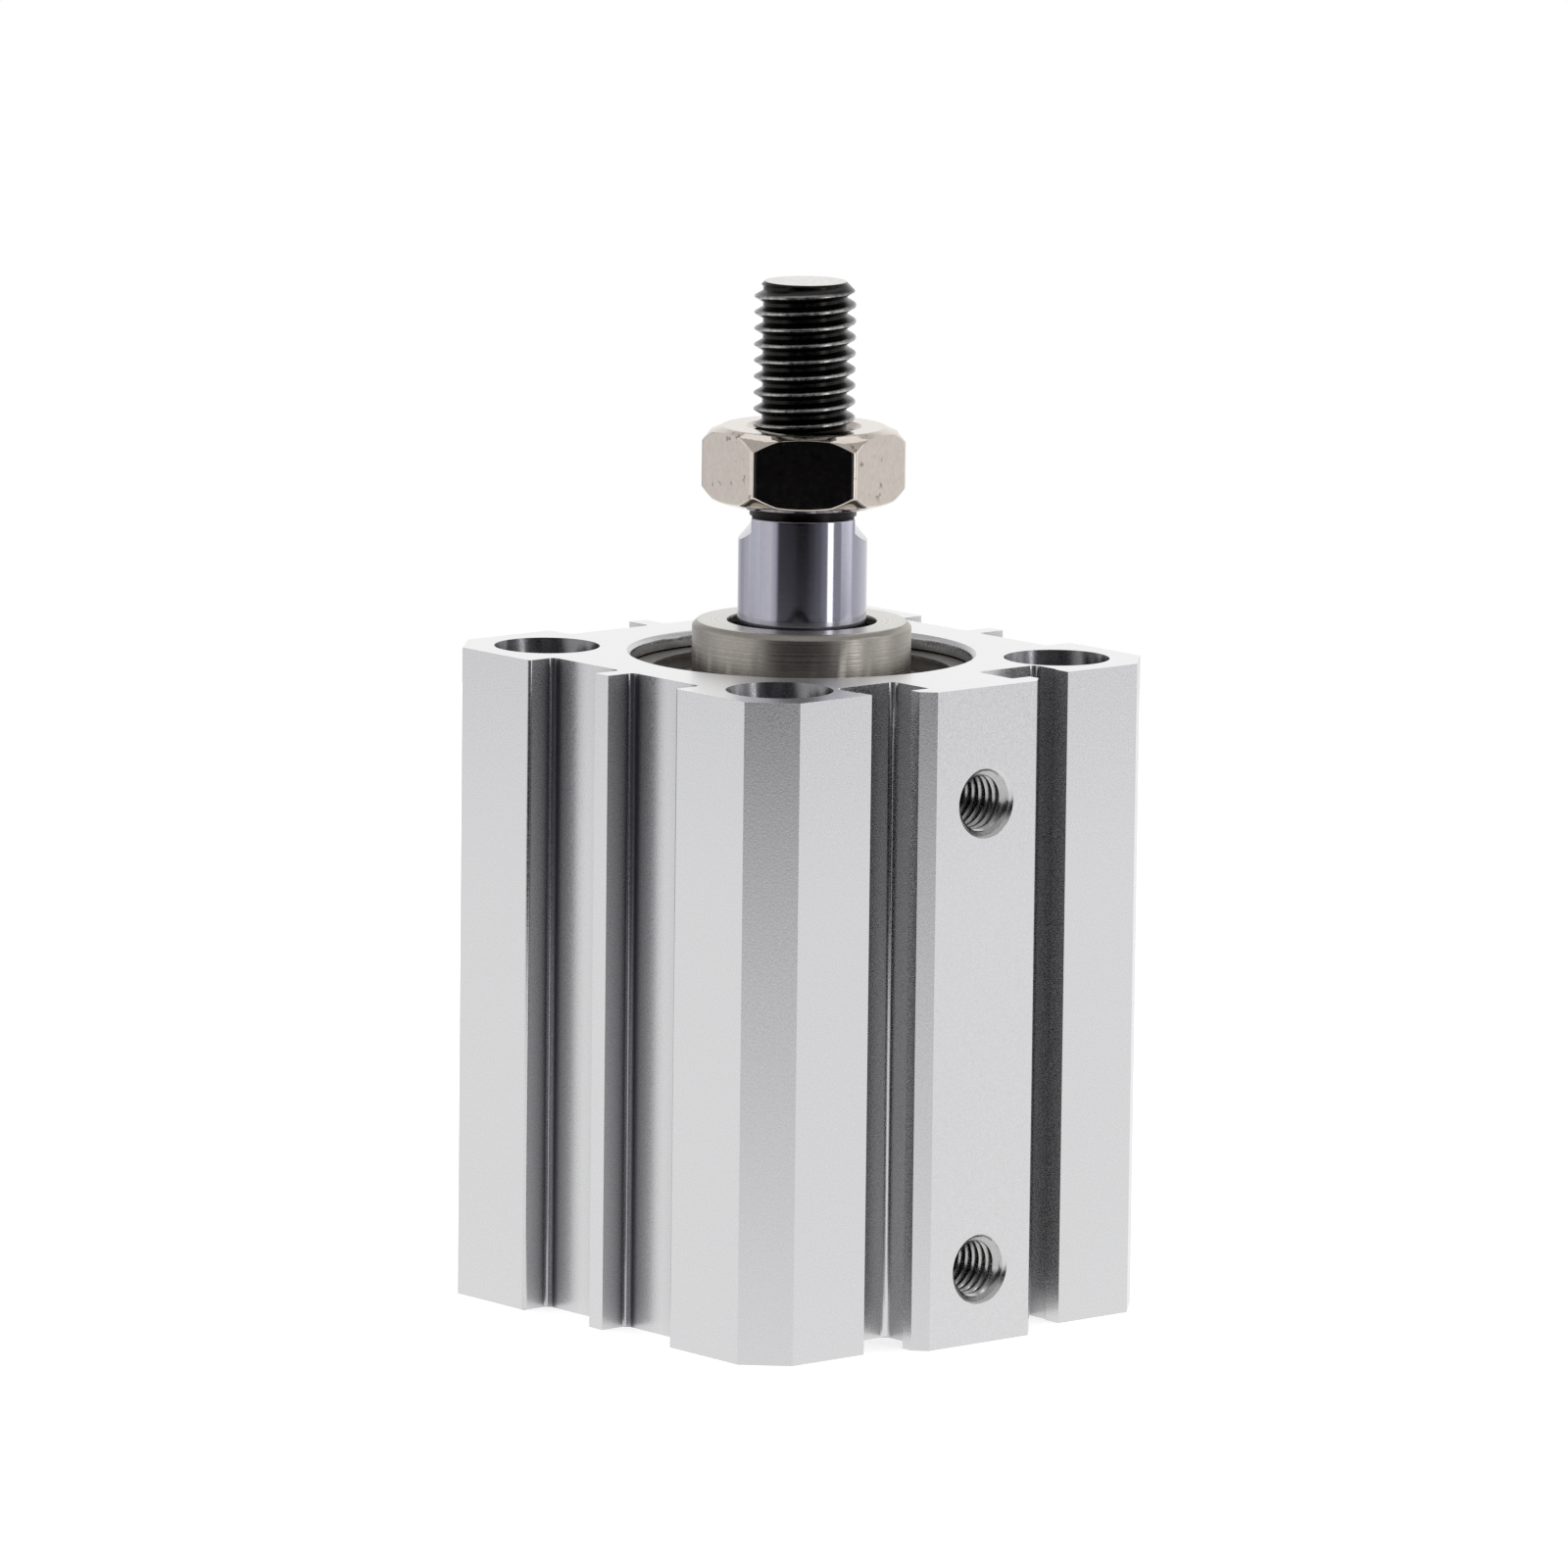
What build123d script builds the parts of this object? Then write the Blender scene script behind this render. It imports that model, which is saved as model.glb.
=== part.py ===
from build123d import *

import os
from math import sqrt

# Compact double-acting air cylinder with its rod drawn in.
# The rod axis is Z, the rear face lies at Z = 0 and both air ports look along -Y.
# Sizes are in millimetres. Places along the rod axis are worked out from the stack
# of pieces between the two end faces, so a thicker piece makes a longer barrel.

# Working sizes
BORE = 25.0
STROKE = 20.0
ROD_DIAMETER = 10.0

# Fits and clearances
SEAT_GAP = 0.02
RUNNING_GAP = 0.04
PISTON_GAP = 0.1
RING_SIDE_GAP = 0.1
END_PLAY = 0.1
OVERCUT = 1.0
SAME_PLACE = 0.01

# Extruded section of the barrel
BODY_WIDTH = 40.0
CORNER_CHAMFER = 3.0
SIDE_GROOVE_DEPTH = 2.5
SIDE_LAND_EDGE = 8.8
SIDE_RIB_WIDTH = 1.6
GROOVE_ROOT_RADIUS = 0.5
LAND_EDGE_RADIUS = 0.3

# Raised land that carries the ports, and the sensor slots beside it
PORT_LAND_RISE = 2.0
PORT_LAND_WIDTH = 12.0
PORT_LAND_BEVEL = 1.0
SENSOR_SLOT_OUTER_WALL = 10.1
SENSOR_SLOT_INNER_WALL = 4.2
SENSOR_SLOT_DEPTH = 4.1
SENSOR_SLOT_LIP_REACH = 0.2
SENSOR_SLOT_LIP_THICKNESS = 1.5

# Mounting holes at the corners, tapped from both ends below a counterbore
HOLE_SPACING = 28.0
COUNTERBORE_DIAMETER = 8.2
COUNTERBORE_DEPTH = 5.5
CORNER_THREAD_DIAMETER = 6.0
CORNER_THREAD_LENGTH = 9.5
THROUGH_HOLE_DIAMETER = 4.6

# Air ports, tapped in the port land, and the drilled ways into the bore
PORT_THREAD_DIAMETER = 5.0
PORT_THREAD_DEPTH = 6.4
PORT_MOUTH_CHAMFER = 0.25
REAR_PORT_PAST_SEAT = 0.1
FRONT_PORT_PAST_SEAT = 1.95
FLOW_HOLE_DIAMETER = 1.8
FLOW_HOLE_WALL = 0.3

# Recesses at both ends and the retaining rings in them
RECESS_DIAMETER = 26.5
RECESS_MOUTH_CHAMFER = 0.3
CLIP_THICKNESS = 1.2
CLIP_GROOVE_DEPTH = 0.7
CLIP_SIDE_GAP = 0.1
CLIP_WIDEST = 2.7
CLIP_NARROWEST = 1.7
CLIP_OPENING = 3.6
CLIP_LUG_DIAMETER = 3.8
CLIP_LUG_HOLE_DIAMETER = 1.7
CLIP_LUG_ANGLE = 18.0
CLIP_TURN = -130.0
FRONT_CLIP_DEPTH = 1.25
REAR_CLIP_DEPTH = 1.0

# Front cover with its boss, bush, rod seal and ring seal
FRONT_FLANGE = 4.6
FRONT_SPIGOT = 3.05
FRONT_SPIGOT_DIAMETER = 22.0
BOSS_DIAMETER = 17.0
BOSS_HEIGHT = 2.5
BOSS_CHAMFER = 0.4
BUSH_WALL = 1.0
BUSH_LENGTH = 6.8
BUSH_INSET = 0.3
BUSH_CHAMFER = 0.25
SEAL_GROOVE_DIAMETER = 15.0
SEAL_GROOVE_LENGTH = 3.6
SEAL_HEIGHT = 3.5
SEAL_MOUTH_DIAMETER = 11.6
SEAL_ROOF = 0.7
COVER_ROD_GAP = 0.2

# Rear cover
REAR_FLANGE = 3.5
REAR_SPIGOT = 0.5

# Ring seals of both covers
COVER_RING_WIDTH = 1.9
COVER_RING_HEIGHT = 1.4
COVER_RING_EASING = 0.45

# Bumpers let into the covers
BUMPER_OUTER_DIAMETER = 20.0
BUMPER_INNER_DIAMETER = 14.4
BUMPER_SUNK = 0.8
FRONT_BUMPER_STANDS = 1.0
REAR_BUMPER_STANDS = 0.8
BUMPER_EASING = 0.25

# Piston, from its rear hub to its front face
PISTON_HUB_DIAMETER = 18.0
PISTON_HUB_LENGTH = 1.2
REAR_HALF_LENGTH = 4.0
MAGNET_LENGTH = 3.0
MAGNET_WASHER = 0.6
FRONT_HALF_LENGTH = 3.9
PISTON_EDGE_CHAMFER = 0.3
MAGNET_INSET = 0.3
WEAR_RING_WIDTH = 2.4
WEAR_RING_THICKNESS = 1.3
WEAR_RING_SLIT = 0.8
PISTON_SEAL_WIDTH = 2.2
PISTON_SEAL_HEIGHT = 2.8
PISTON_SEAL_WAIST = 0.45
MAGNET_SLEEVE_DIAMETER = 14.0
ROD_SPIGOT_DIAMETER = 8.0
ROD_RING_WIDTH = 1.4
ROD_RING_HEIGHT = 0.9
ROD_RING_EASING = 0.3

# Countersunk screw that clamps the piston on the rod
SCREW_DIAMETER = 5.0
SCREW_LENGTH = 16.0
SCREW_HEAD_DIAMETER = 9.4
SCREW_HEAD_RIM = 0.3
SCREW_SUNK = 0.3
SCREW_SOCKET_ACROSS_FLATS = 3.0
SCREW_SOCKET_DEPTH = 2.0
SCREW_HOLE_GAP = 0.2
ROD_TAP_SPARE = 3.0
ROD_SHORT_OF_JOINT = 0.1

# Rod end and lock nut
ROD_STANDOUT = 8.3
ROD_THREAD_DIAMETER = 8.0
ROD_THREAD_LENGTH = 18.1
ROD_THREAD_CHAMFER = 0.8
ROD_GRIPPED_DIAMETER = 7.6
ROD_COLLAR_DIAMETER = 8.3
ROD_COLLAR_LENGTH = 0.8
ROD_FLATS_ACROSS = 8.0
ROD_FLATS_LENGTH = 1.1
ROD_FLATS_RAMP = 0.9
ROD_TURN = -40.0
NUT_ACROSS_FLATS = 13.8
NUT_THICKNESS = 6.0
NUT_FACE_DIAMETER = 13.3
NUT_CORNER_RADIUS = 0.6
NUT_HOLE_GAP = 0.05
NUT_COUNTERSINK = 0.45
NUT_ABOVE_COLLAR = 0.05
FREE_THREAD_ABOVE_NUT = 0.15

# Stack along the rod axis, from the rear face to the front face
REAR_COVER_BACK = REAR_CLIP_DEPTH + CLIP_THICKNESS
REAR_SEAT = REAR_COVER_BACK + REAR_FLANGE
REAR_COVER_FACE = REAR_SEAT + REAR_SPIGOT
PISTON_BACK = REAR_COVER_FACE + REAR_BUMPER_STANDS + END_PLAY
REAR_HALF_BACK = PISTON_BACK + PISTON_HUB_LENGTH
MAGNET_BACK = REAR_HALF_BACK + REAR_HALF_LENGTH
WASHER_BACK = MAGNET_BACK + MAGNET_LENGTH
FRONT_HALF_BACK = WASHER_BACK + MAGNET_WASHER
PISTON_FRONT = FRONT_HALF_BACK + FRONT_HALF_LENGTH
FRONT_COVER_FACE = PISTON_FRONT + STROKE + END_PLAY + FRONT_BUMPER_STANDS
FRONT_SEAT = FRONT_COVER_FACE + FRONT_SPIGOT
FRONT_FLANGE_TOP = FRONT_SEAT + FRONT_FLANGE
BODY_LENGTH = FRONT_FLANGE_TOP + CLIP_THICKNESS + FRONT_CLIP_DEPTH
BOSS_TOP = BODY_LENGTH + BOSS_HEIGHT
ROD_SHOULDER = BOSS_TOP + ROD_STANDOUT
ROD_END = ROD_SHOULDER + ROD_THREAD_LENGTH

# Sizes that follow from the ones above
HALF_WIDTH = BODY_WIDTH / 2
PORT_FACE = HALF_WIDTH + PORT_LAND_RISE
RECESS_RADIUS = RECESS_DIAMETER / 2
COVER_RADIUS = RECESS_RADIUS - SEAT_GAP
PISTON_RADIUS = BORE / 2 - PISTON_GAP
RING_RADIUS = BORE / 2 - RUNNING_GAP
REAR_PORT_Z = REAR_SEAT + REAR_PORT_PAST_SEAT
FRONT_PORT_Z = FRONT_SEAT - FRONT_PORT_PAST_SEAT
FLOW_HOLE_PAST_SEAT = FLOW_HOLE_DIAMETER / 2 + FLOW_HOLE_WALL

# Places of the seals, rings and screw along the rod axis
FRONT_RING_Z = FRONT_SEAT + (FRONT_FLANGE - COVER_RING_WIDTH) / 2
REAR_RING_Z = REAR_COVER_BACK + (REAR_FLANGE - COVER_RING_WIDTH) / 2
BUSH_BOTTOM = FRONT_COVER_FACE + BUSH_INSET
BUSH_TOP = BUSH_BOTTOM + BUSH_LENGTH
SEAL_TOP = BOSS_TOP - SEAL_ROOF
SEAL_BOTTOM = SEAL_TOP - SEAL_GROOVE_LENGTH
WEAR_GROOVE_LENGTH = WEAR_RING_WIDTH + 2 * RING_SIDE_GAP
WEAR_GROOVE_BACK = REAR_HALF_BACK + (REAR_HALF_LENGTH - WEAR_GROOVE_LENGTH) / 2
SEAL_CHANNEL_LENGTH = PISTON_SEAL_WIDTH + 2 * RING_SIDE_GAP
SEAL_CHANNEL_BACK = FRONT_HALF_BACK + (FRONT_HALF_LENGTH - SEAL_CHANNEL_LENGTH) / 2
SCREW_FACE = PISTON_BACK + SCREW_SUNK
SCREW_CONE_TOP = SCREW_FACE + SCREW_HEAD_RIM + (SCREW_HEAD_DIAMETER - SCREW_DIAMETER) / 2
ROD_RING_BACK = FRONT_HALF_BACK + (FRONT_HALF_LENGTH - ROD_RING_WIDTH) / 2
ROD_BACK = MAGNET_BACK + ROD_SHORT_OF_JOINT
COLLAR_TOP = ROD_SHOULDER + ROD_COLLAR_LENGTH
NUT_BOTTOM = COLLAR_TOP + NUT_ABOVE_COLLAR
FREE_THREAD_BOTTOM = NUT_BOTTOM + NUT_THICKNESS + FREE_THREAD_ABOVE_NUT


def turned(*outline):
    """Solid turned about the Z axis from (radius, height) corners."""
    corners = [(radius, 0, height) for radius, height in outline]
    return revolve(make_face(Polyline(*corners, close=True)), Axis.Z)


def disc(diameter, bottom, top):
    """Plain round disc or shaft on the Z axis."""
    radius = diameter / 2
    return turned((0, bottom), (radius, bottom), (radius, top), (0, top))


def ring(outer_radius, inner_radius, bottom, top):
    """Plain ring on the Z axis."""
    return turned(
        (inner_radius, bottom),
        (outer_radius, bottom),
        (outer_radius, top),
        (inner_radius, top),
    )


def soft_ring(outer_radius, inner_radius, bottom, width, easing):
    """Ring with eased corners, as a squeezed ring seal or a bumper has."""
    top = bottom + width
    return turned(
        (inner_radius + easing, bottom),
        (outer_radius - easing, bottom),
        (outer_radius, bottom + easing),
        (outer_radius, top - easing),
        (outer_radius - easing, top),
        (inner_radius + easing, top),
        (inner_radius, top - easing),
        (inner_radius, bottom + easing),
    )


def side_grooves():
    """Two shallow grooves on the +Y side, parted by a narrow rib."""
    rib_half = SIDE_RIB_WIDTH / 2
    width = SIDE_LAND_EDGE - rib_half
    depth = SIDE_GROOVE_DEPTH + OVERCUT
    floor = HALF_WIDTH - SIDE_GROOVE_DEPTH
    groove = Pos(rib_half + width / 2, floor + depth / 2) * Rectangle(width, depth)
    groove = fillet(groove.vertices().sort_by(Axis.Y)[:2], GROOVE_ROOT_RADIUS)
    return groove + mirror(groove, Plane.YZ)


def port_land():
    """Raised land on the -Y side, bevelled along both edges."""
    edge = PORT_LAND_WIDTH / 2
    top = edge - PORT_LAND_BEVEL
    root = -HALF_WIDTH + OVERCUT
    shoulder = -PORT_FACE + PORT_LAND_BEVEL
    right_side = [(edge, root), (edge, shoulder), (top, -PORT_FACE)]
    left_side = [(-x, y) for x, y in reversed(right_side)]
    return make_face(Polyline(*right_side, *left_side, close=True))


def sensor_slots():
    """Slots that run on under the port land and under a small lip on the far side."""
    floor = -HALF_WIDTH + SENSOR_SLOT_DEPTH
    mouth = -PORT_FACE + PORT_LAND_BEVEL
    lip_edge = SENSOR_SLOT_OUTER_WALL - SENSOR_SLOT_LIP_REACH
    lip_back = -HALF_WIDTH + SENSOR_SLOT_LIP_THICKNESS
    slot = make_face(
        Polyline(
            (SENSOR_SLOT_INNER_WALL, floor),
            (SENSOR_SLOT_OUTER_WALL, floor),
            (SENSOR_SLOT_OUTER_WALL, lip_back),
            (lip_edge, lip_back),
            (lip_edge, mouth),
            (PORT_LAND_WIDTH / 2, mouth),
            (PORT_LAND_WIDTH / 2, -HALF_WIDTH),
            (SENSOR_SLOT_INNER_WALL, -HALF_WIDTH),
            close=True,
        )
    )
    slot = fillet(slot.vertices().group_by(Axis.Y)[-1], GROOVE_ROOT_RADIUS)
    return Sketch() + slot + mirror(slot, Plane.YZ)


def is_land_edge(corner):
    """True for a corner where a side land drops into its groove."""
    along, across = sorted((abs(corner.X), abs(corner.Y)))
    on_side = abs(across - HALF_WIDTH) < SAME_PLACE
    return on_side and abs(along - SIDE_LAND_EDGE) < SAME_PLACE


def barrel_section():
    """Cross-section of the extruded barrel before its holes are bored."""
    square = Rectangle(BODY_WIDTH, BODY_WIDTH)
    section = chamfer(square.vertices(), CORNER_CHAMFER) + port_land()
    grooves = side_grooves()
    for turn in (-90, 0, 90):
        section -= Rot(0, 0, turn) * grooves
    section -= sensor_slots()
    land_edges = [corner for corner in section.vertices() if is_land_edge(corner)]
    return fillet(land_edges, LAND_EDGE_RADIUS)


def recess_cut(face, inward, seat):
    """Space cut at one end: mouth, cover seat and retaining ring groove."""
    clip_depth = REAR_CLIP_DEPTH if inward > 0 else FRONT_CLIP_DEPTH
    groove_low, groove_high = sorted(
        (
            face + inward * (clip_depth + CLIP_THICKNESS),
            face + inward * (clip_depth - CLIP_SIDE_GAP),
        )
    )
    groove = disc(RECESS_DIAMETER + 2 * CLIP_GROOVE_DEPTH, groove_low, groove_high)
    outside = face - inward * OVERCUT
    mouth = turned(
        (0, outside),
        (RECESS_RADIUS + RECESS_MOUTH_CHAMFER, outside),
        (RECESS_RADIUS + RECESS_MOUTH_CHAMFER, face),
        (RECESS_RADIUS, face + inward * RECESS_MOUTH_CHAMFER),
        (RECESS_RADIUS, seat),
        (0, seat),
    )
    return mouth + groove


def corner_hole_cut():
    """One mounting hole, through the barrel and tapped from both ends."""
    counterbore = COUNTERBORE_DIAMETER / 2
    thread = CORNER_THREAD_DIAMETER / 2
    through = THROUGH_HOLE_DIAMETER / 2
    thread_end = COUNTERBORE_DEPTH + CORNER_THREAD_LENGTH
    near_end = [
        (0, -OVERCUT),
        (counterbore, -OVERCUT),
        (counterbore, COUNTERBORE_DEPTH),
        (thread, COUNTERBORE_DEPTH),
        (thread, thread_end),
        (through, thread_end + thread - through),
    ]
    far_end = [(radius, BODY_LENGTH - height) for radius, height in reversed(near_end)]
    return turned(*near_end, *far_end)


def port_cut(height, flow_height):
    """One tapped port with its drill point, and the flow hole into the bore."""
    thread = PORT_THREAD_DIAMETER / 2
    tapped = turned(
        (0, OVERCUT),
        (thread + PORT_MOUTH_CHAMFER, OVERCUT),
        (thread + PORT_MOUTH_CHAMFER, 0),
        (thread, -PORT_MOUTH_CHAMFER),
        (thread, -PORT_THREAD_DEPTH),
        (0, -PORT_THREAD_DEPTH),
    )
    flow_length = PORT_FACE - PORT_THREAD_DEPTH
    flow = Cylinder(FLOW_HOLE_DIAMETER / 2, flow_length)
    inward = Rot(90, 0, 0)
    tapped = Pos(0, -PORT_FACE, height) * inward * tapped
    return tapped + Pos(0, -flow_length / 2, flow_height) * inward * flow


def make_barrel():
    """Extruded and machined barrel."""
    barrel = extrude(barrel_section(), BODY_LENGTH)
    barrel -= disc(BORE, REAR_SEAT - OVERCUT, FRONT_SEAT + OVERCUT)
    barrel -= recess_cut(0, 1, REAR_SEAT)
    barrel -= recess_cut(BODY_LENGTH, -1, FRONT_SEAT)
    hole = corner_hole_cut()
    for place in GridLocations(HOLE_SPACING, HOLE_SPACING, 2, 2):
        barrel -= place * hole
    rear_port = port_cut(REAR_PORT_Z, REAR_SEAT + FLOW_HOLE_PAST_SEAT)
    front_port = port_cut(FRONT_PORT_Z, FRONT_SEAT - FLOW_HOLE_PAST_SEAT)
    return barrel - rear_port - front_port


def make_clip(bottom):
    """Retaining ring with two eyed lugs, widest opposite its opening."""
    outer = RECESS_RADIUS + CLIP_GROOVE_DEPTH - CLIP_SIDE_GAP
    inner = outer - (CLIP_WIDEST + CLIP_NARROWEST) / 2
    offset = (CLIP_WIDEST - CLIP_NARROWEST) / 2
    band = Circle(outer) - Pos(offset, 0) * Circle(inner)
    lug_radius = inner + offset - CLIP_LUG_HOLE_DIAMETER / 4
    for turn in (-CLIP_LUG_ANGLE, CLIP_LUG_ANGLE):
        band += Rot(0, 0, turn) * Pos(lug_radius, 0) * Circle(CLIP_LUG_DIAMETER / 2)
    for turn in (-CLIP_LUG_ANGLE, CLIP_LUG_ANGLE):
        band -= Rot(0, 0, turn) * Pos(lug_radius, 0) * Circle(CLIP_LUG_HOLE_DIAMETER / 2)
    band -= Pos(outer, 0) * Rectangle(outer, CLIP_OPENING)
    return Pos(0, 0, bottom) * Rot(0, 0, CLIP_TURN) * extrude(band, CLIP_THICKNESS)


def cover_ring_groove(bottom):
    """Groove for a ring seal round a cover flange."""
    width = COVER_RING_WIDTH + RING_SIDE_GAP
    return ring(RECESS_RADIUS + OVERCUT, RECESS_RADIUS - COVER_RING_HEIGHT, bottom, bottom + width)


def make_cover_ring(bottom):
    """Ring seal squeezed between a cover and the barrel."""
    outer = COVER_RADIUS
    inner = RECESS_RADIUS - COVER_RING_HEIGHT
    return soft_ring(outer, inner, bottom, COVER_RING_WIDTH, COVER_RING_EASING)


def bumper_groove(face, inward):
    """Groove that holds a bumper in the inner face of a cover."""
    low, high = sorted((face + inward * OVERCUT, face - inward * BUMPER_SUNK))
    outer = BUMPER_OUTER_DIAMETER / 2 + SEAT_GAP
    inner = BUMPER_INNER_DIAMETER / 2 - SEAT_GAP
    return ring(outer, inner, low, high)


def make_bumper(bottom, stands):
    """Soft ring that stops the piston at one end."""
    outer = BUMPER_OUTER_DIAMETER / 2
    inner = BUMPER_INNER_DIAMETER / 2
    return soft_ring(outer, inner, bottom, BUMPER_SUNK + stands, BUMPER_EASING)


def make_front_cover():
    """Front cover: flange, spigot, and the boss round the rod."""
    bush_seat = ROD_DIAMETER / 2 + RUNNING_GAP + BUSH_WALL + SEAT_GAP
    neck = ROD_DIAMETER / 2 + COVER_ROD_GAP
    boss = BOSS_DIAMETER / 2
    seal_wall = SEAL_GROOVE_DIAMETER / 2
    mouth = SEAL_MOUTH_DIAMETER / 2
    cover = turned(
        (bush_seat, FRONT_COVER_FACE),
        (FRONT_SPIGOT_DIAMETER / 2, FRONT_COVER_FACE),
        (FRONT_SPIGOT_DIAMETER / 2, FRONT_SEAT),
        (COVER_RADIUS, FRONT_SEAT),
        (COVER_RADIUS, FRONT_FLANGE_TOP),
        (boss, FRONT_FLANGE_TOP),
        (boss, BOSS_TOP - BOSS_CHAMFER),
        (boss - BOSS_CHAMFER, BOSS_TOP),
        (mouth, BOSS_TOP),
        (mouth, SEAL_TOP),
        (seal_wall, SEAL_TOP),
        (seal_wall, SEAL_BOTTOM),
        (neck, SEAL_BOTTOM),
        (neck, BUSH_TOP),
        (bush_seat, BUSH_TOP),
    )
    return cover - cover_ring_groove(FRONT_RING_Z) - bumper_groove(FRONT_COVER_FACE, -1)


def make_rod_bush():
    """Bearing bush that guides the rod in the front cover."""
    inner = ROD_DIAMETER / 2 + RUNNING_GAP
    outer = inner + BUSH_WALL
    return turned(
        (inner + BUSH_CHAMFER, BUSH_BOTTOM),
        (outer, BUSH_BOTTOM),
        (outer, BUSH_TOP),
        (inner + BUSH_CHAMFER, BUSH_TOP),
        (inner, BUSH_TOP - BUSH_CHAMFER),
        (inner, BUSH_BOTTOM + BUSH_CHAMFER),
    )


def make_rod_seal():
    """Lip seal round the rod, open towards the air, with a wiping heel."""
    outer = SEAL_GROOVE_DIAMETER / 2 - SEAT_GAP
    lip = ROD_DIAMETER / 2 + RUNNING_GAP
    step = (outer - lip) / 10
    top = SEAL_BOTTOM + SEAL_HEIGHT
    valley = SEAL_BOTTOM + SEAL_HEIGHT / 2
    return turned(
        (outer, SEAL_BOTTOM),
        (outer, top),
        (lip + step, top),
        (lip, top - step),
        (lip + 3 * step, valley + step),
        (lip, SEAL_BOTTOM + 2 * step),
        (lip + step, SEAL_BOTTOM),
        (lip + 3 * step, SEAL_BOTTOM),
        (lip + 5 * step, valley),
        (lip + 7 * step, valley),
        (lip + 8 * step, SEAL_BOTTOM),
    )


def make_rear_cover():
    """Rear cover: a closed disc on its seat."""
    spigot = BORE / 2 - SEAT_GAP
    cover = turned(
        (0, REAR_COVER_BACK),
        (COVER_RADIUS, REAR_COVER_BACK),
        (COVER_RADIUS, REAR_SEAT),
        (spigot, REAR_SEAT),
        (spigot, REAR_COVER_FACE),
        (0, REAR_COVER_FACE),
    )
    return cover - cover_ring_groove(REAR_RING_Z) - bumper_groove(REAR_COVER_FACE, 1)


def make_piston_rear():
    """Rear half of the piston, with its hub, wear ring groove and screw seat."""
    hub = PISTON_HUB_DIAMETER / 2
    edge = PISTON_RADIUS - PISTON_EDGE_CHAMFER
    half = turned(
        (0, PISTON_BACK),
        (hub, PISTON_BACK),
        (hub, REAR_HALF_BACK),
        (edge, REAR_HALF_BACK),
        (PISTON_RADIUS, REAR_HALF_BACK + PISTON_EDGE_CHAMFER),
        (PISTON_RADIUS, MAGNET_BACK),
        (0, MAGNET_BACK),
    )
    groove_floor = BORE / 2 - WEAR_RING_THICKNESS
    groove = ring(BORE, groove_floor, WEAR_GROOVE_BACK, WEAR_GROOVE_BACK + WEAR_GROOVE_LENGTH)
    head = SCREW_HEAD_DIAMETER / 2 + SCREW_HOLE_GAP
    shank = SCREW_DIAMETER / 2 + SCREW_HOLE_GAP
    seat = turned(
        (0, PISTON_BACK - OVERCUT),
        (head, PISTON_BACK - OVERCUT),
        (head, SCREW_FACE + SCREW_HEAD_RIM),
        (shank, SCREW_CONE_TOP),
        (shank, MAGNET_BACK + OVERCUT),
        (0, MAGNET_BACK + OVERCUT),
    )
    return half - groove - seat


def make_piston_front():
    """Front half of the piston, with its seal groove and the magnet sleeve."""
    sleeve = MAGNET_SLEEVE_DIAMETER / 2
    bore = ROD_SPIGOT_DIAMETER / 2 + SEAT_GAP
    edge = PISTON_RADIUS - PISTON_EDGE_CHAMFER
    half = turned(
        (bore, MAGNET_BACK),
        (sleeve, MAGNET_BACK),
        (sleeve, FRONT_HALF_BACK),
        (PISTON_RADIUS, FRONT_HALF_BACK),
        (PISTON_RADIUS, PISTON_FRONT - PISTON_EDGE_CHAMFER),
        (edge, PISTON_FRONT),
        (bore, PISTON_FRONT),
    )
    groove_floor = BORE / 2 - PISTON_SEAL_HEIGHT
    seal_groove = ring(
        BORE,
        groove_floor,
        SEAL_CHANNEL_BACK,
        SEAL_CHANNEL_BACK + SEAL_CHANNEL_LENGTH,
    )
    rod_ring_groove = ring(
        bore + ROD_RING_HEIGHT,
        0,
        ROD_RING_BACK,
        ROD_RING_BACK + ROD_RING_WIDTH,
    )
    return half - seal_groove - rod_ring_groove


def make_magnet():
    """Sensing magnet on the sleeve between the two halves."""
    outer = PISTON_RADIUS - MAGNET_INSET
    inner = MAGNET_SLEEVE_DIAMETER / 2 + SEAT_GAP
    return ring(outer, inner, MAGNET_BACK, WASHER_BACK)


def make_magnet_washer():
    """Rubber washer that cushions the magnet."""
    outer = PISTON_RADIUS - MAGNET_INSET
    inner = MAGNET_SLEEVE_DIAMETER / 2 + SEAT_GAP
    return ring(outer, inner, WASHER_BACK, FRONT_HALF_BACK)


def make_wear_ring():
    """Split guide ring that runs on the bore."""
    bottom = WEAR_GROOVE_BACK + RING_SIDE_GAP
    inner = BORE / 2 - WEAR_RING_THICKNESS + RUNNING_GAP
    band = ring(RING_RADIUS, inner, bottom, bottom + WEAR_RING_WIDTH)
    slit = Pos(BORE / 2, 0, bottom + WEAR_RING_WIDTH / 2) * Rot(45, 0, 0)
    return band - slit * Box(BORE / 2, WEAR_RING_SLIT, 2 * WEAR_RING_WIDTH)


def make_piston_seal():
    """Piston packing with two lips and a waist between them."""
    low = SEAL_CHANNEL_BACK + RING_SIDE_GAP
    high = low + PISTON_SEAL_WIDTH
    middle = (low + high) / 2
    inner = BORE / 2 - PISTON_SEAL_HEIGHT + RUNNING_GAP
    lip = RING_RADIUS - PISTON_SEAL_WAIST
    return turned(
        (inner, low),
        (lip, low),
        (RING_RADIUS, low + PISTON_SEAL_WAIST),
        (lip, middle),
        (RING_RADIUS, high - PISTON_SEAL_WAIST),
        (lip, high),
        (inner, high),
        (inner + PISTON_SEAL_WAIST, middle),
    )


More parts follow.
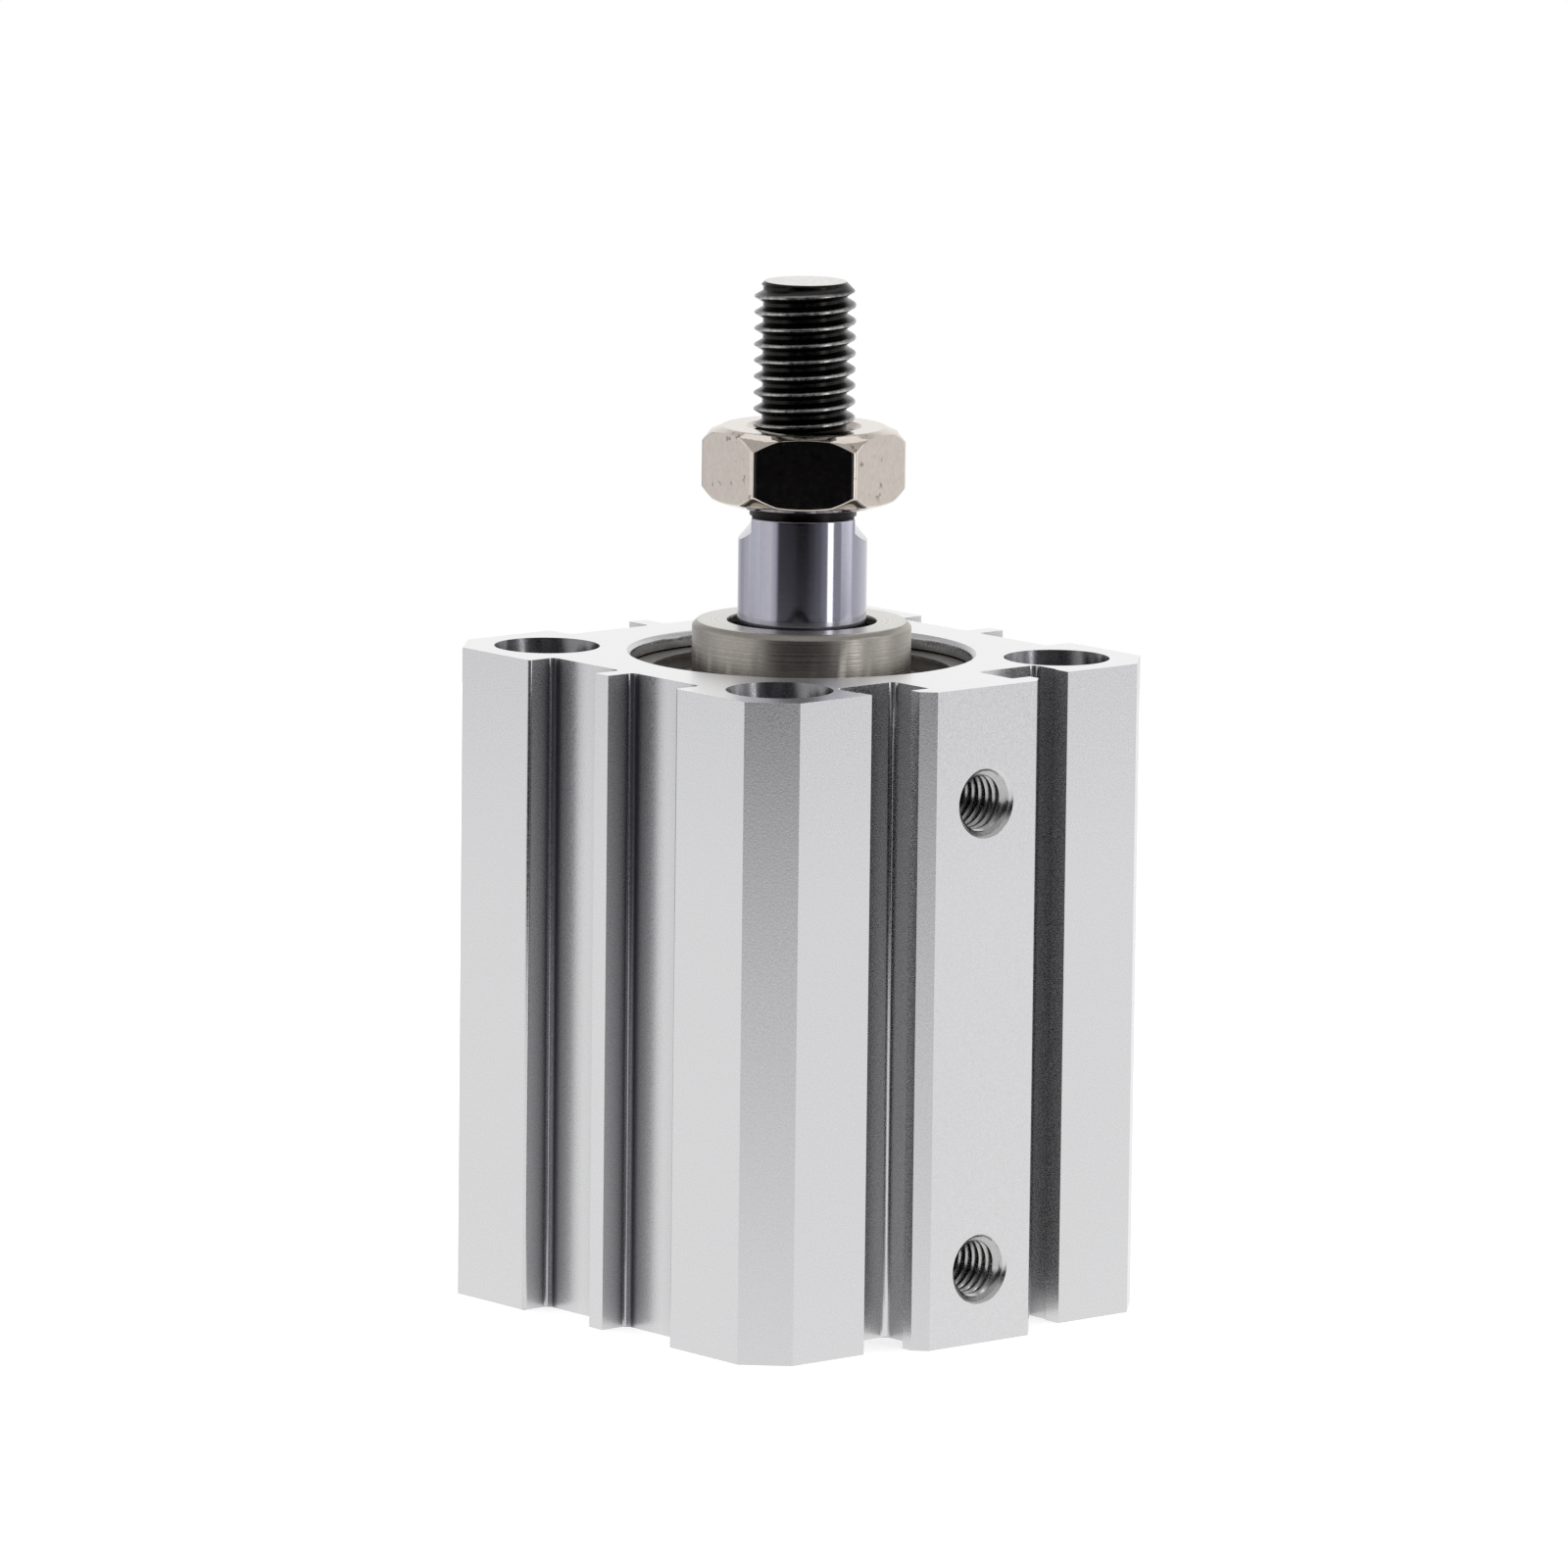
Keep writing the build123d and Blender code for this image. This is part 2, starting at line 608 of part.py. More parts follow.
def make_rod_ring():
    """Ring seal between the rod spigot and the front half of the piston."""
    inner = ROD_SPIGOT_DIAMETER / 2 + SEAT_GAP
    outer = inner + ROD_RING_HEIGHT
    return soft_ring(outer, inner, ROD_RING_BACK, ROD_RING_WIDTH, ROD_RING_EASING)


def make_piston_screw():
    """Countersunk socket screw that holds the piston on the rod."""
    shank = SCREW_DIAMETER / 2 - SEAT_GAP
    head = SCREW_HEAD_DIAMETER / 2
    screw = turned(
        (0, SCREW_FACE),
        (head, SCREW_FACE),
        (head, SCREW_FACE + SCREW_HEAD_RIM),
        (shank, SCREW_CONE_TOP),
        (shank, SCREW_FACE + SCREW_LENGTH),
        (0, SCREW_FACE + SCREW_LENGTH),
    )
    socket_radius = SCREW_SOCKET_ACROSS_FLATS / 2
    socket = extrude(RegularPolygon(socket_radius, 6, major_radius=False), SCREW_SOCKET_DEPTH)
    return screw - Pos(0, 0, SCREW_FACE) * socket


def rod_flat_cut():
    """One wrench flat with its ramp, cut on the +X side of the rod."""
    flat = ROD_FLATS_ACROSS / 2
    outside = ROD_DIAMETER
    depth = ROD_DIAMETER / 2 - flat
    ramp_slope = ROD_FLATS_RAMP / depth
    flat_end = ROD_SHOULDER - ROD_FLATS_LENGTH
    corners = [
        (flat, 0, ROD_SHOULDER + OVERCUT),
        (flat, 0, flat_end),
        (outside, 0, flat_end - ramp_slope * (outside - flat)),
        (outside, 0, ROD_SHOULDER + OVERCUT),
    ]
    return extrude(make_face(Polyline(*corners, close=True)), ROD_DIAMETER, both=True)


def make_piston_rod():
    """Rod with its piston spigot, wrench flats, collar and threaded end.

    The thread is drawn plain, and a little thinner where the nut grips it.
    """
    spigot = ROD_SPIGOT_DIAMETER / 2
    rod = ROD_DIAMETER / 2
    thread = ROD_THREAD_DIAMETER / 2
    gripped = ROD_GRIPPED_DIAMETER / 2
    collar = ROD_COLLAR_DIAMETER / 2
    shaft = turned(
        (0, ROD_BACK),
        (spigot, ROD_BACK),
        (spigot, PISTON_FRONT),
        (rod, PISTON_FRONT),
        (rod, ROD_SHOULDER),
        (0, ROD_SHOULDER),
    )
    flat_cut = rod_flat_cut()
    shaft -= flat_cut
    shaft -= Rot(0, 0, 180) * flat_cut
    shaft -= disc(SCREW_DIAMETER, ROD_BACK, SCREW_FACE + SCREW_LENGTH + ROD_TAP_SPARE)
    threaded_end = turned(
        (0, ROD_SHOULDER),
        (collar, ROD_SHOULDER),
        (collar, COLLAR_TOP),
        (gripped, COLLAR_TOP),
        (gripped, FREE_THREAD_BOTTOM),
        (thread, FREE_THREAD_BOTTOM),
        (thread, ROD_END - ROD_THREAD_CHAMFER),
        (thread - ROD_THREAD_CHAMFER, ROD_END),
        (0, ROD_END),
    )
    return Rot(0, 0, ROD_TURN) * (shaft + threaded_end)


def make_lock_nut():
    """Hexagon nut, chamfered at both faces, standing on the rod thread."""
    flats = NUT_ACROSS_FLATS / 2
    hexagon = RegularPolygon(flats, 6, major_radius=False)
    hexagon = fillet(hexagon.vertices(), NUT_CORNER_RADIUS)
    face = NUT_FACE_DIAMETER / 2
    corner = NUT_ACROSS_FLATS / sqrt(3)
    drop = corner - face
    envelope = turned(
        (0, 0),
        (face, 0),
        (corner, drop),
        (corner, NUT_THICKNESS - drop),
        (face, NUT_THICKNESS),
        (0, NUT_THICKNESS),
    )
    hole = ROD_THREAD_DIAMETER / 2 + NUT_HOLE_GAP
    hole_cut = turned(
        (0, 0),
        (hole + NUT_COUNTERSINK, 0),
        (hole, NUT_COUNTERSINK),
        (hole, NUT_THICKNESS - NUT_COUNTERSINK),
        (hole + NUT_COUNTERSINK, NUT_THICKNESS),
        (0, NUT_THICKNESS),
    )
    nut = (extrude(hexagon, NUT_THICKNESS) & envelope) - hole_cut
    return Pos(0, 0, NUT_BOTTOM) * Rot(0, 0, ROD_TURN) * nut


NODES = {
    "barrel": make_barrel(),
    "front_cover": make_front_cover(),
    "rod_bush": make_rod_bush(),
    "rod_seal": make_rod_seal(),
    "front_cover_ring_seal": make_cover_ring(FRONT_RING_Z),
    "front_circlip": make_clip(FRONT_FLANGE_TOP),
    "front_bumper": make_bumper(FRONT_COVER_FACE - FRONT_BUMPER_STANDS, FRONT_BUMPER_STANDS),
    "rear_cover": make_rear_cover(),
    "rear_cover_ring_seal": make_cover_ring(REAR_RING_Z),
    "rear_circlip": make_clip(REAR_CLIP_DEPTH),
    "rear_bumper": make_bumper(REAR_COVER_FACE - BUMPER_SUNK, REAR_BUMPER_STANDS),
    "piston_seal": make_piston_seal(),
    "wear_ring": make_wear_ring(),
    "piston_rod": make_piston_rod(),
    "piston_front": make_piston_front(),
    "piston_rear": make_piston_rear(),
    "magnet_ring": make_magnet(),
    "magnet_washer": make_magnet_washer(),
    "piston_rod_ring_seal": make_rod_ring(),
    "piston_screw": make_piston_screw(),
    "lock_nut": make_lock_nut(),
}

os.makedirs("parts", exist_ok=True)
for name, piece in NODES.items():
    export_step(piece, f"parts/{name}.step")
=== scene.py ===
"""Looks of a compact air cylinder: finishes, screw threads, studio and camera.

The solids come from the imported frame, in metres, with the rod axis on Z and the air
ports towards -Y. Each sub-assembly is a class that builds its own meshes and dresses
the solids that already have the right shape.
"""

import logging
import math
from dataclasses import dataclass
from enum import Enum
from typing import Callable

import bmesh
import bpy
from mathutils import Matrix, Vector


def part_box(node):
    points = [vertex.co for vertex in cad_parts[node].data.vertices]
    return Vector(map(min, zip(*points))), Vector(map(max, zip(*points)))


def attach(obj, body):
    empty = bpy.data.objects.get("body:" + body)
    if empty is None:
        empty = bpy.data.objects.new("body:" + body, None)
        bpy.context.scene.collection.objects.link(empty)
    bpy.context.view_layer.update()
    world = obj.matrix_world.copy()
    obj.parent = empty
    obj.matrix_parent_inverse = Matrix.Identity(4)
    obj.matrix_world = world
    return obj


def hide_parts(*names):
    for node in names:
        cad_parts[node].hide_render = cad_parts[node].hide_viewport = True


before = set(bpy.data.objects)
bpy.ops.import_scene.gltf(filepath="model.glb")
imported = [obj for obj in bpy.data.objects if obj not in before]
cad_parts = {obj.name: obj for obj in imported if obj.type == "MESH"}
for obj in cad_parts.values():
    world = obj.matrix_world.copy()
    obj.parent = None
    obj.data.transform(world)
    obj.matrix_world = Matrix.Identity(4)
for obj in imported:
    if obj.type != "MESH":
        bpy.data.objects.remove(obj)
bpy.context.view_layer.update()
MM = 0.001
LOG = logging.getLogger("air_cylinder")

Outline = list[tuple[float, float]]
Tree = bpy.types.NodeTree
Node = bpy.types.Node
Outputs = bpy.types.NodeOutputs
Socket = bpy.types.NodeSocket

# Nearly all values of a noise lie between these.
NOISE_LOW, NOISE_HIGH = 0.3, 0.7
# A face is level where its normal points along Z by more than this share.
LEVEL_FROM = 0.9
# How much bluer than grey the darkest walls are.
DARK_COOLNESS = 0.15
# Millimetres within which points of a CAD solid and of a swept mesh are joined.
CAD_WELD_MM = 0.0005
SWEEP_WELD_MM = 0.0002
# Millimetres within which a point lies on the plane of a cut, and an edge at an end.
CUT_REACH_MM = 0.001
END_REACH_MM = 0.003
# Degrees between faces: below the first they are one flat, above the second their
# edge is eased, and above the third it is drawn sharp.
FLAT_BELOW = 0.2
EASED_ABOVE = 30
SHARP_ABOVE = 32


def box_mm(node: str) -> tuple[list[float], list[float]]:
    """Returns a CAD node's lowest and highest corner in mm, to the micrometre."""
    low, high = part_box(node)
    return [round(v / MM, 3) for v in low], [round(v / MM, 3) for v in high]


(_, PORT_SIDE, _), (_, _, BARREL_LENGTH) = box_mm("barrel")
(_, _, ROD_BACK), (_, _, ROD_END) = box_mm("piston_rod")
(_, _, NUT_BOTTOM), (_, _, NUT_TOP) = box_mm("lock_nut")


class Body(Enum):
    """Moving bodies of the frame that new pieces ride on."""

    HOUSING = "housing"
    ROD = "rod_and_piston"
    NUT = "nut"


class Slot(Enum):
    """Material slots of the record that new pieces take their finish from."""

    BARREL = "anodised_aluminium"
    ROD = "chromed_steel"
    THREAD = "blackened_steel"
    NUT = "nickel_plated_steel"


def linear(hex_colour: str) -> tuple[float, float, float, float]:
    """Turns an sRGB hex colour to the linear RGBA that a shader takes.

    Args:
        hex_colour: six hex digits after a hash sign.

    Returns:
        Linear red, green and blue with full opacity.
    """
    parts = [int(hex_colour[i : i + 2], 16) / 255 for i in (1, 3, 5)]
    red, green, blue = [
        c / 12.92 if c <= 0.04045 else ((c + 0.055) / 1.055) ** 2.4 for c in parts
    ]
    return red, green, blue, 1.0


def add_node(
    tree: Tree,
    kind: str,
    settings: dict[str, object] | None = None,
    inputs: dict[str | int, object] | None = None,
) -> Node:
    """Adds one shader node with its settings and links.

    Args:
        tree: node tree that gets the node.
        kind: the node's type name.
        settings: attributes of the node, such as its operation.
        inputs: a value or an output socket for each named or numbered input.

    Returns:
        The new node.
    """
    node = tree.nodes.new(kind)
    for name, value in (settings or {}).items():
        setattr(node, name, value)
    for key, value in (inputs or {}).items():
        if isinstance(value, Socket):
            tree.links.new(value, node.inputs[key])
        else:
            node.inputs[key].default_value = value
    return node


def fresh_tree(owner: bpy.types.Material | bpy.types.World) -> Tree:
    """Returns the emptied node tree of a material or of the world.

    Args:
        owner: material or world that gets nodes.

    Returns:
        Its tree.
    """
    owner.use_nodes = True
    owner.node_tree.nodes.clear()
    return owner.node_tree


def in_scene(name: str, data: bpy.types.ID) -> bpy.types.Object:
    """Makes an object of a mesh, lamp or camera and links it to the scene.

    Args:
        name: the object's name.
        data: its mesh, lamp or camera.

    Returns:
        The linked object.
    """
    item = bpy.data.objects.new(name, data)
    bpy.context.scene.collection.objects.link(item)
    return item


def along_axes(tree: Tree, what: str = "Object") -> Outputs:
    """Adds nodes that split a surface's point, or its Normal, along X, Y and Z."""
    point = add_node(tree, "ShaderNodeTexCoord").outputs[what]
    return add_node(tree, "ShaderNodeSeparateXYZ", inputs={0: point}).outputs


def from_rod_axis(tree: Tree, axes: Outputs) -> Socket:
    """Adds nodes that give a point's distance from the rod axis.

    Args:
        tree: node tree that gets the nodes.
        axes: the point's X, Y and Z.

    Returns:
        The distance in metres.
    """
    flat = add_node(
        tree, "ShaderNodeCombineXYZ", inputs={"X": axes["X"], "Y": axes["Y"]}
    )
    return add_node(
        tree, "ShaderNodeVectorMath", {"operation": "LENGTH"}, {0: flat.outputs[0]}
    ).outputs["Value"]


@dataclass(frozen=True)
class Grain:
    """A fine random pattern of a real size that marks a surface."""

    size_mm: float
    detail: float = 2.0
    stretch: tuple[float, float, float] = (1.0, 1.0, 1.0)

    def noise(self, tree: Tree) -> Socket:
        """Adds the pattern's nodes and returns its value from 0 to 1.

        Args:
            tree: node tree that gets the nodes.

        Returns:
            The pattern's value.
        """
        place = add_node(tree, "ShaderNodeTexCoord")
        per_metre = 1 / (self.size_mm * MM)
        mapped = add_node(
            tree,
            "ShaderNodeMapping",
            inputs={"Vector": place.outputs["Object"], "Scale": self.stretch},
        )
        noise = add_node(
            tree,
            "ShaderNodeTexNoise",
            inputs={
                "Vector": mapped.outputs["Vector"],
                "Scale": per_metre,
                "Detail": self.detail,
            },
        )
        return noise.outputs["Fac"]


@dataclass(frozen=True)
class Finish:
    """A plain finish: one colour with a fine grain in colour, gloss and height."""

    name: str
    light: str
    dark: str
    roughness: float
    roughness_spread: float
    grain: Grain
    height_mm: float
    metallic: float = 1.0
    ior: float = 1.5

    def material(self) -> bpy.types.Material:
        """Builds the material once and returns it.

        Returns:
            The material.
        """
        found = bpy.data.materials.get(self.name)
        if found:
            return found
        material = bpy.data.materials.new(self.name)
        tree = fresh_tree(material)
        shader = add_node(
            tree,
            "ShaderNodeBsdfPrincipled",
            inputs={"Metallic": self.metallic, "IOR": self.ior},
        )
        self.dress(tree, shader)
        add_node(
            tree,
            "ShaderNodeOutputMaterial",
            inputs={"Surface": shader.outputs["BSDF"]},
        )
        return material

    def dress(self, tree: Tree, shader: Node) -> None:
        """Links colour, gloss and height into the shader.

        Args:
            tree: node tree that gets the nodes.
            shader: shader that takes them.
        """
        noise = self.grain.noise(tree)
        tree.links.new(self.colour(tree, noise), shader.inputs["Base Color"])
        tree.links.new(self.gloss(tree, noise), shader.inputs["Roughness"])
        tree.links.new(self.relief(tree, noise), shader.inputs["Normal"])

    def colour(
        self, tree: Tree, noise: Socket
    ) -> Socket:
        """Mixes the dark and light colours by the grain."""
        return mix_colours(tree, noise, linear(self.dark), linear(self.light))

    def gloss(
        self, tree: Tree, noise: Socket
    ) -> Socket:
        """Spreads the roughness about its middle value by the grain.

        Args:
            tree: node tree that gets the nodes.
            noise: the grain's value, from 0 to 1.

        Returns:
            The roughness.
        """
        spread = add_node(
            tree,
            "ShaderNodeMapRange",
            inputs={
                "Value": noise,
                "From Min": NOISE_LOW,
                "From Max": NOISE_HIGH,
                "To Min": self.roughness - self.roughness_spread,
                "To Max": self.roughness + self.roughness_spread,
            },
        )
        return spread.outputs["Result"]

    def relief(
        self, tree: Tree, height: Socket
    ) -> Socket:
        """Turns a height pattern into a bumped normal.

        Args:
            tree: node tree that gets the nodes.
            height: pattern that counts as height.

        Returns:
            The bumped normal.
        """
        bump = add_node(
            tree,
            "ShaderNodeBump",
            inputs={"Strength": 1.0, "Distance": self.height_mm * MM, "Height": height},
        )
        return bump.outputs["Normal"]


def mix_colours(
    tree: Tree,
    factor: Socket,
    low: object,
    high: object,
) -> Socket:
    """Mixes two colours, given as values or sockets, by a factor.

    Args:
        tree: node tree that gets the mix.
        factor: 0 gives the low colour and 1 the high one.
        low: first colour.
        high: second colour.

    Returns:
        The mixed colour's socket.
    """
    mix = tree.nodes.new("ShaderNodeMix")
    mix.data_type = "RGBA"
    colours = [s for s in mix.inputs if s.type == "RGBA"]
    tree.links.new(factor, mix.inputs[0])
    for socket, value in zip(colours, (low, high)):
        if isinstance(value, Socket):
            tree.links.new(value, socket)
        else:
            socket.default_value = value
    return next(s for s in mix.outputs if s.type == "RGBA")


def grey_ramp(
    tree: Tree,
    factor: Socket,
    stops: list[tuple[float, float]],
) -> Socket:
    """Adds a ramp of greys with soft steps between its stops, the dark ones cooler.

    Args:
        tree: node tree that gets the ramp.
        factor: place along the ramp, from 0 to 1.
        stops: place and grey of each stop, in order.

    Returns:
        The colour's socket.
    """
    node = add_node(tree, "ShaderNodeValToRGB", inputs={"Fac": factor})
    ramp = node.color_ramp
    ramp.interpolation = "EASE"
    ramp.elements.remove(ramp.elements[1])
    for index, (place, grey) in enumerate(stops):
        stop = ramp.elements.new(place) if index else ramp.elements[0]
        stop.position = place
        stop.color = (grey, grey, grey * (1 + DARK_COOLNESS * (1 - grey)), 1)
    return node.outputs["Color"]


def level_faces(tree: Tree) -> Socket:
    """Adds nodes that give 1 on faces square to the Z axis, and 0 elsewhere.

    Args:
        tree: node tree that gets the nodes.

    Returns:
        The mask's value.
    """
    upright = add_node(
        tree,
        "ShaderNodeMath",
        {"operation": "ABSOLUTE"},
        {0: along_axes(tree, "Normal")["Z"]},
    )
    return add_node(
        tree,
        "ShaderNodeMath",
        {"operation": "GREATER_THAN"},
        {0: upright.outputs[0], 1: LEVEL_FROM},
    ).outputs[0]


@dataclass(frozen=True)
class AnodisedExtrusion(Finish):
    """Extruded aluminium with a bead blast and a clear anodise, its ends machined after.

    The blasting gives a soft grey sheen with a fine sparkle. It doesn't reach deep
    into the grooves, which stay duller. The grooves also get painted shade, darker
    where their own walls hide more of the room, and darkest in their roots. The
    sensor slots are shallower: the painted shade is lifted from their floors, and
    partly from their walls. The machined ends are a little brighter, and the walls
    of the corner holes get a darker painted shade.

    Each sky value is the share of open sky that counts as a corner, and then the
    share that counts as an open face.
    """

    machined: str = "#F4F4F4"
    machined_roughness: float = 0.3
    # This colour is painted shade in the grooves, where their own walls hide the light.
    corner: str = "#76767B"
    groove_shade_reach_mm: float = 4.0
    groove_shade_sky: tuple[float, float] = (0.45, 0.98)
    # This colour is painted shade, the darkest, in the roots of the grooves.
    root: str = "#4C4C53"
    root_roughness: float = 0.55
    root_shade_reach_mm: float = 1.2
    root_shade_sky: tuple[float, float] = (0.84, 0.96)
    sky_samples: int = 8
    wall_facing: float = -0.3
    slot_floor_mm: float = -15.9
    slot_floor_margin_mm: float = 0.05
    # How much of the painted groove shade is lifted on the slot floors, and on the slot
    # walls.
    slot_floor_shade_lift: float = 1.0
    slot_wall_shade_lift: float = 0.3
    # This colour is painted shade on the walls of the corner holes.
    hole_wall_shade: str = "#828284"
    hole_place_mm: float = 14.0
    hole_reach_mm: float = 4.3

    def corner_holes(self, tree: Tree) -> Socket:
        """Adds nodes that give 1 inside the four corner holes, and 0 elsewhere.

        Args:
            tree: node tree that gets the nodes.

        Returns:
            The mask's value.
        """
        corner = self.hole_place_mm * MM
        way = add_node(tree, "ShaderNodeTexCoord").outputs["Object"]
        for operation, second in (
            ("ABSOLUTE", None),
            ("SUBTRACT", (corner, corner, 0)),
            ("MULTIPLY", (1, 1, 0)),
        ):
            inputs = {0: way} if second is None else {0: way, 1: second}
            step = add_node(
                tree, "ShaderNodeVectorMath", {"operation": operation}, inputs
            )
            way = step.outputs["Vector"]
        distance = add_node(
            tree, "ShaderNodeVectorMath", {"operation": "LENGTH"}, {0: way}
        )
        return add_node(
            tree,
            "ShaderNodeMath",
            {"operation": "LESS_THAN"},
            {0: distance.outputs["Value"], 1: self.hole_reach_mm * MM},
        ).outputs[0]

    def x_over_y(self, tree: Tree, vector: Socket) -> Socket:
        """Adds nodes that give how much longer a vector is along X than along Y.

        Args:
            tree: node tree that gets the nodes.
            vector: the vector.

        Returns:
            Its size along X less its size along Y.
        """
        size = add_node(
            tree, "ShaderNodeVectorMath", {"operation": "ABSOLUTE"}, {0: vector}
        )
        return add_node(
            tree,
            "ShaderNodeVectorMath",
            {"operation": "DOT_PRODUCT"},
            {0: size.outputs["Vector"], 1: (1, -1, 0)},
        ).outputs["Value"]

    def groove_walls(self, tree: Tree) -> Socket:
        """Adds nodes that give 1 on groove walls and the tops of their roots.

        Args:
            tree: node tree that gets the nodes.

        Returns:
            The mask's value.
        """
        place = add_node(tree, "ShaderNodeTexCoord")
        side = add_node(
            tree,
            "ShaderNodeMath",
            {"operation": "SIGN"},
            {0: self.x_over_y(tree, place.outputs["Object"])},
        )
        facing_out = add_node(
            tree,
            "ShaderNodeMath",
            {"operation": "MULTIPLY"},
            {0: side.outputs[0], 1: self.x_over_y(tree, place.outputs["Normal"])},
        )
        return add_node(
            tree,
            "ShaderNodeMath",
            {"operation": "LESS_THAN"},
            {0: facing_out.outputs[0], 1: self.wall_facing},
        ).outputs[0]

    def slots(self, tree: Tree) -> Socket:
        """Adds nodes that give 1 from the slots' floor outwards, and 0 behind.

        Args:
            tree: node tree that gets the nodes.

        Returns:
            The mask's value.
        """
        floor = (self.slot_floor_mm + self.slot_floor_margin_mm) * MM
        return add_node(
            tree,
            "ShaderNodeMath",
            {"operation": "LESS_THAN"},
            {0: along_axes(tree)["Y"], 1: floor},
        ).outputs[0]

    def openness(
        self,
        tree: Tree,
        reach_mm: float,
        sky_range: tuple[float, float],
        at_least: Socket,
    ) -> Socket:
        """Adds nodes that tell the open faces from the corners.

        Args:
            tree: node tree that gets the nodes.
            reach_mm: how far round a point its own walls are looked for.
            sky_range: share of open sky in a corner, and on an open face.
            at_least: lowest value, where the painted shade is lifted.

        Returns:
            0 in a corner and 1 on an open face.
        """
        sky = add_node(
            tree,
            "ShaderNodeAmbientOcclusion",
            {"only_local": True, "samples": self.sky_samples},
            {"Distance": reach_mm * MM},
        )
        closed, clear = sky_range
        clearness = add_node(
            tree,
            "ShaderNodeMapRange",
            inputs={"Value": sky.outputs["AO"], "From Min": closed, "From Max": clear},
        )
        return add_node(
            tree,
            "ShaderNodeMath",
            {"operation": "MAXIMUM"},
            {0: clearness.outputs["Result"], 1: at_least},
        ).outputs[0]

    def masks(self, tree: Tree) -> tuple[Socket, Socket]:
        """Adds the masks of the painted shade in the grooves and in their roots.

        Args:
            tree: node tree that gets the nodes.

        Returns:
            How much of the grooves' painted shade is lifted, and for the roots' painted
            shade 0 in the roots with 1 outside them.
        """
        slots, walls = self.slots(tree), self.groove_walls(tree)
        # Painted shade lifted in the sensor slots: fully on their floors, partly on their
        # walls.
        slot_shade_lift = add_node(
            tree,
            "ShaderNodeMapRange",
            inputs={
                "Value": walls,
                "To Min": self.slot_floor_shade_lift,
                "To Max": self.slot_wall_shade_lift,
            },
        )
        in_slots = add_node(
            tree,
            "ShaderNodeMath",
            {"operation": "MULTIPLY"},
            {0: slots, 1: slot_shade_lift.outputs["Result"]},
        ).outputs[0]
        root_shade_off = add_node(
            tree, "ShaderNodeMath", {"operation": "MAXIMUM"}, {0: slots, 1: walls}
        ).outputs[0]
        # Painted shade in the grooves, lifted in the sensor slots.
        out_of_groove_shade = self.openness(tree, self.groove_shade_reach_mm, self.groove_shade_sky, in_slots)
        # Painted shade in the roots, switched off in the slots and on the groove walls.
        out_of_root_shade = self.openness(tree, self.root_shade_reach_mm, self.root_shade_sky, root_shade_off)
        return out_of_groove_shade, out_of_root_shade

    def dress(self, tree: Tree, shader: Node) -> None:
        """Links the sides, with their painted shade, and the machined ends into the shader.

        Args:
            tree: node tree that gets the nodes.
            shader: shader that takes them.
        """
        noise = self.grain.noise(tree)
        end_face = level_faces(tree)
        out_of_groove_shade, out_of_root_shade = self.masks(tree)
        lands = self.colour(tree, noise)
        # Painted shade: the grooves darken near their walls, and their roots darken most.
        grooves = mix_colours(tree, out_of_groove_shade, linear(self.corner), lands)
        sides = mix_colours(tree, out_of_root_shade, linear(self.root), grooves)
        # Painted shade on the walls of the corner holes.
        hole_wall_shade = mix_colours(tree, self.corner_holes(tree), sides, linear(self.hole_wall_shade))
        both = mix_colours(tree, end_face, hole_wall_shade, linear(self.machined))
        tree.links.new(both, shader.inputs["Base Color"])
        side_rough = add_node(
            tree,
            "ShaderNodeMix",
            inputs={0: out_of_root_shade, 2: self.root_roughness, 3: self.gloss(tree, noise)},
        )
        rough = add_node(
            tree,
            "ShaderNodeMix",
            inputs={0: end_face, 2: side_rough.outputs[0], 3: self.machined_roughness},
        )
        tree.links.new(rough.outputs[0], shader.inputs["Roughness"])
        tree.links.new(self.relief(tree, noise), shader.inputs["Normal"])


@dataclass(frozen=True)
class TurnedFinish(Finish):
    """Metal turned or ground round the rod axis, with fine rings left by the tool."""

    ring_pitch_mm: float = 0.12
    ring_height_mm: float = 0.002
    faced: str = ""

    def dress(self, tree: Tree, shader: Node) -> None:
        """Adds rings round the axis to the grain's colour, gloss and height.

        Args:
            tree: node tree that gets the nodes.
            shader: shader that takes them.
        """
        noise = self.grain.noise(tree)
        axes = along_axes(tree)
        along = add_node(
            tree,
            "ShaderNodeMath",
            {"operation": "ADD"},
            {0: from_rod_axis(tree, axes), 1: axes["Z"]},
        )
        per_metre = 1 / (self.ring_pitch_mm * MM)
        rings = add_node(
            tree,
            "ShaderNodeTexNoise",
            {"noise_dimensions": "1D"},
            {"W": along.outputs[0], "Scale": per_metre, "Detail": 2.0},
        ).outputs["Fac"]
        ring_relief = add_node(
            tree,
            "ShaderNodeBump",
            inputs={
                "Strength": 1.0,
                "Distance": self.ring_height_mm * MM,
                "Height": rings,
                "Normal": self.relief(tree, noise),
            },
        )
        colour = self.colour(tree, noise)
        if self.faced:
            colour = mix_colours(tree, level_faces(tree), colour, linear(self.faced))
        tree.links.new(colour, shader.inputs["Base Color"])
        tree.links.new(self.gloss(tree, rings), shader.inputs["Roughness"])
        tree.links.new(ring_relief.outputs["Normal"], shader.inputs["Normal"])


